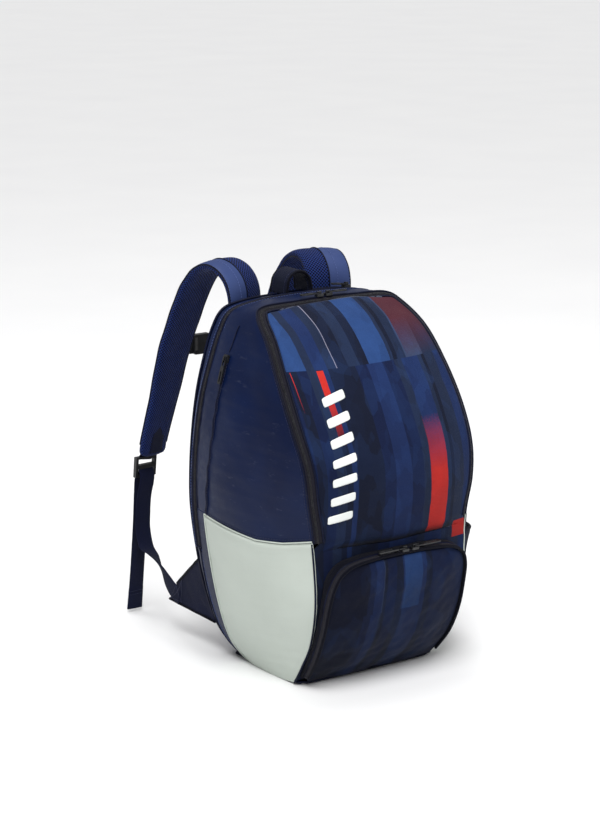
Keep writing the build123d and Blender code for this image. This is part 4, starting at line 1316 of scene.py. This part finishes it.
# ---- side pockets ----
def side_line(z_values, y_values, lift):
    """Points on the left side panel at given heights and depths."""
    u_all = np.linspace(SEAM_U, 10.5, 200)
    t_all = np.linspace(0, 1, 60)
    surface = side_surface(u_all[:, None] + 0 * t_all, np.broadcast_to(t_all, (200, 60)), lift)
    points = []
    for z, y in zip(z_values, y_values):
        distance = np.abs(surface[..., 2] - z) + np.abs(surface[..., 1] - y)
        i, j = np.unravel_index(np.argmin(distance), distance.shape)
        points.append(surface[i, j])
    points = np.array(points)
    keep = np.arange(0, len(points), 3)
    return curve(points[keep], np.linspace(0, len(keep) - 1, 160))


def make_side_zip():
    """Narrow zip of the left side pocket, with the crease that runs on above it."""
    z = np.linspace(216, 424, 60)
    y = np.interp(z, [216, 240, 300, 340, 424], [70, 66, 60.5, 60, 60])
    line = side_line(z * MM, y * MM, 0.5 * MM)
    outward = unit(line - SHELL_CENTRE)
    across = unit(np.cross(np.gradient(line, axis=0), outward))
    cords = Build("side_zip_piping")
    for sign in (-1, 1):
        cords.tube(line + across * sign * 1.7 * MM + outward * 0.2 * MM, 0.9 * MM, normal=outward)
    above = side_line(np.linspace(428, 466, 24) * MM, np.linspace(60, 57, 24) * MM, 0.6 * MM)
    cords.tube(above, 0.9 * MM)
    cords.trim(PIPING)
    coil_line(Build("side_zip_coil"), line, across, outward, (1.8, 0.9, 1.0), 1.5 * MM).trim(
        ZIP_COIL, slot_name="zip")
    sewn = Build("side_zip_stitches")
    for sign in (-1, 1):
        stitch_line(sewn, line + across * sign * 4.4 * MM + outward * 0.2 * MM, normals=outward)
    sewn.trim(DARK_THREAD)


def make_bottle_pocket():
    """Stretch mesh pocket on the right-hand light panel, with an elastic rim."""
    u = np.linspace(1, 3.62, 60)[:, None]
    t = np.linspace(0.13, 0.86, 44)[None]
    gap = np.interp(u, [1, 2, 3, 3.62], [2.5, 9, 16, 20]) * (0.85 + 0.4 * t) * MM
    belly = 1 - np.abs(np.linspace(-1, 1, 44)[None]) ** 5
    base = side_surface(u + 0 * t, t + 0 * u, 1.2 * MM)
    points = base + grid_normals(base) * (gap * belly)[..., None]
    points = puckered(points, 81, 0.7 * MM, size=0.05) * [-1, 1, 1]
    pocket = Build("bottle_pocket_mesh").grid(points).make(
        [SIDE_MESH, SIDE_MESH], "bag", ["bottle_pocket_right"], "mesh", 1.2 * MM)
    rim = Build("bottle_pocket_rim")
    for k, radius in ((-1, 2.6), (-4, 1.4)):
        rim.tube(points[k], radius * MM, flat=0.8)
    for column in (0, -1):
        rim.tube(points[:, column], 1.4 * MM)
    rim.trim(BINDING)


# ---- hardware that keeps its CAD shape ----
def dress_hardware():
    looks = {"ladder_lock": BLACK_PLASTIC, "sternum_socket": BLACK_PLASTIC, "sternum_plug": BLACK_PLASTIC,
             "sternum_clip": BLACK_PLASTIC, "slider": METAL_BLACK, "puller": BLACK_PLASTIC, "board": BOARD}
    for name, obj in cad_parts.items():
        for key, material in looks.items():
            if key in name:
                obj.data.materials.clear()
                obj.data.materials.append(material)


# ---- stage, lights and camera ----
CAMERA_AZIMUTH = math.radians(-35)
CAMERA_ELEVATION = math.radians(13.5)
CAMERA_DISTANCE = 3.0385
CAMERA_TARGET = Vector((-0.0715, 0, 0.3548))
FOCAL_PIXELS = 2345
LONG_SIDE = 819


def make_stage():
    steps = np.linspace(-FLOOR_HALF, FLOOR_HALF, 41)
    x, y = np.meshgrid(steps, steps)
    p = Paint("pale_floor", Roughness=0.9, Specular_IOR_Level=0.1)
    tone = p.noise(p.place(3), 4)
    paper = p.finish(p.mix(tone, rgb(246, 246, 246), rgb(240, 240, 241)))
    floor = Build("floor").grid(np.stack([x, y, 0 * x - 0.3 * MM], -1)).make([paper])
    world = bpy.data.worlds.new("studio")
    world.use_nodes = True
    inputs = world.node_tree.nodes["Background"].inputs
    inputs["Color"].default_value = (1, 1, 1, 1)
    inputs["Strength"].default_value = WORLD_STRENGTH
    bpy.context.scene.world = world


def add_lamp(name, kind, place, aim, **settings):
    """A light that points from place to aim."""
    data = bpy.data.lights.new(name, kind)
    for key, value in settings.items():
        setattr(data, key, value)
    lamp = bpy.data.objects.new(name, data)
    bpy.context.scene.collection.objects.link(lamp)
    lamp.location = place
    lamp.rotation_euler = (Vector(aim) - Vector(place)).to_track_quat("-Z", "Y").to_euler()


# Disks: name, place, point aimed at, diameter in metres and power in watts
DISKS = [("key", (-1.6, -2.4, 2.8), (0, 0, 0.3), 1.2, 42),
         ("fill", (2.6, -1.8, 1.8), (0, 0, 0.25), 1.6, 12),
         ("top", (0.2, 0.6, 3.0), (0, 0, 0.3), 1.2, 24)]
SUN_PLACE = (-0.25, -0.35, 1.0)
SUN_STRENGTH = 1.9
WORLD_STRENGTH = 0.36
FLOOR_HALF = 25


def make_camera():
    a, e = CAMERA_AZIMUTH, CAMERA_ELEVATION
    back = Vector((math.sin(a) * math.cos(e), -math.cos(a) * math.cos(e), math.sin(e)))
    data = bpy.data.cameras.new("camera")
    data.lens = FOCAL_PIXELS / LONG_SIDE * data.sensor_width
    data.clip_end = 100
    camera = bpy.data.objects.new("camera", data)
    bpy.context.scene.collection.objects.link(camera)
    camera.location = CAMERA_TARGET + back * CAMERA_DISTANCE
    camera.rotation_euler = (-back).to_track_quat("-Z", "Y").to_euler()
    bpy.context.scene.camera = camera


make_upper_shell()
for one_side in (-1, 1):
    make_lower_panel(one_side)
    make_strap(one_side)
    make_webbing(one_side)
    make_wing(one_side)
make_rear_gusset()
make_rear_zip()
make_back_piping()
make_front_zip()
make_mark(make_front_panel())
make_pocket_face()
make_pocket_edge()
make_base()
make_back_panel()
make_divider()
make_pads()
make_chest_webbing()
make_handle()
make_side_zip()
make_bottle_pocket()
dress_hardware()
make_stage()
add_lamp("sun", "SUN", SUN_PLACE, (0, 0, 0), energy=SUN_STRENGTH, angle=math.radians(30))
for lamp_name, stands_at, aimed_at, wide, power in DISKS:
    add_lamp(lamp_name, "AREA", stands_at, aimed_at, shape="DISK", size=wide, energy=power)
make_camera()
bpy.context.scene.view_settings.view_transform = "Standard"
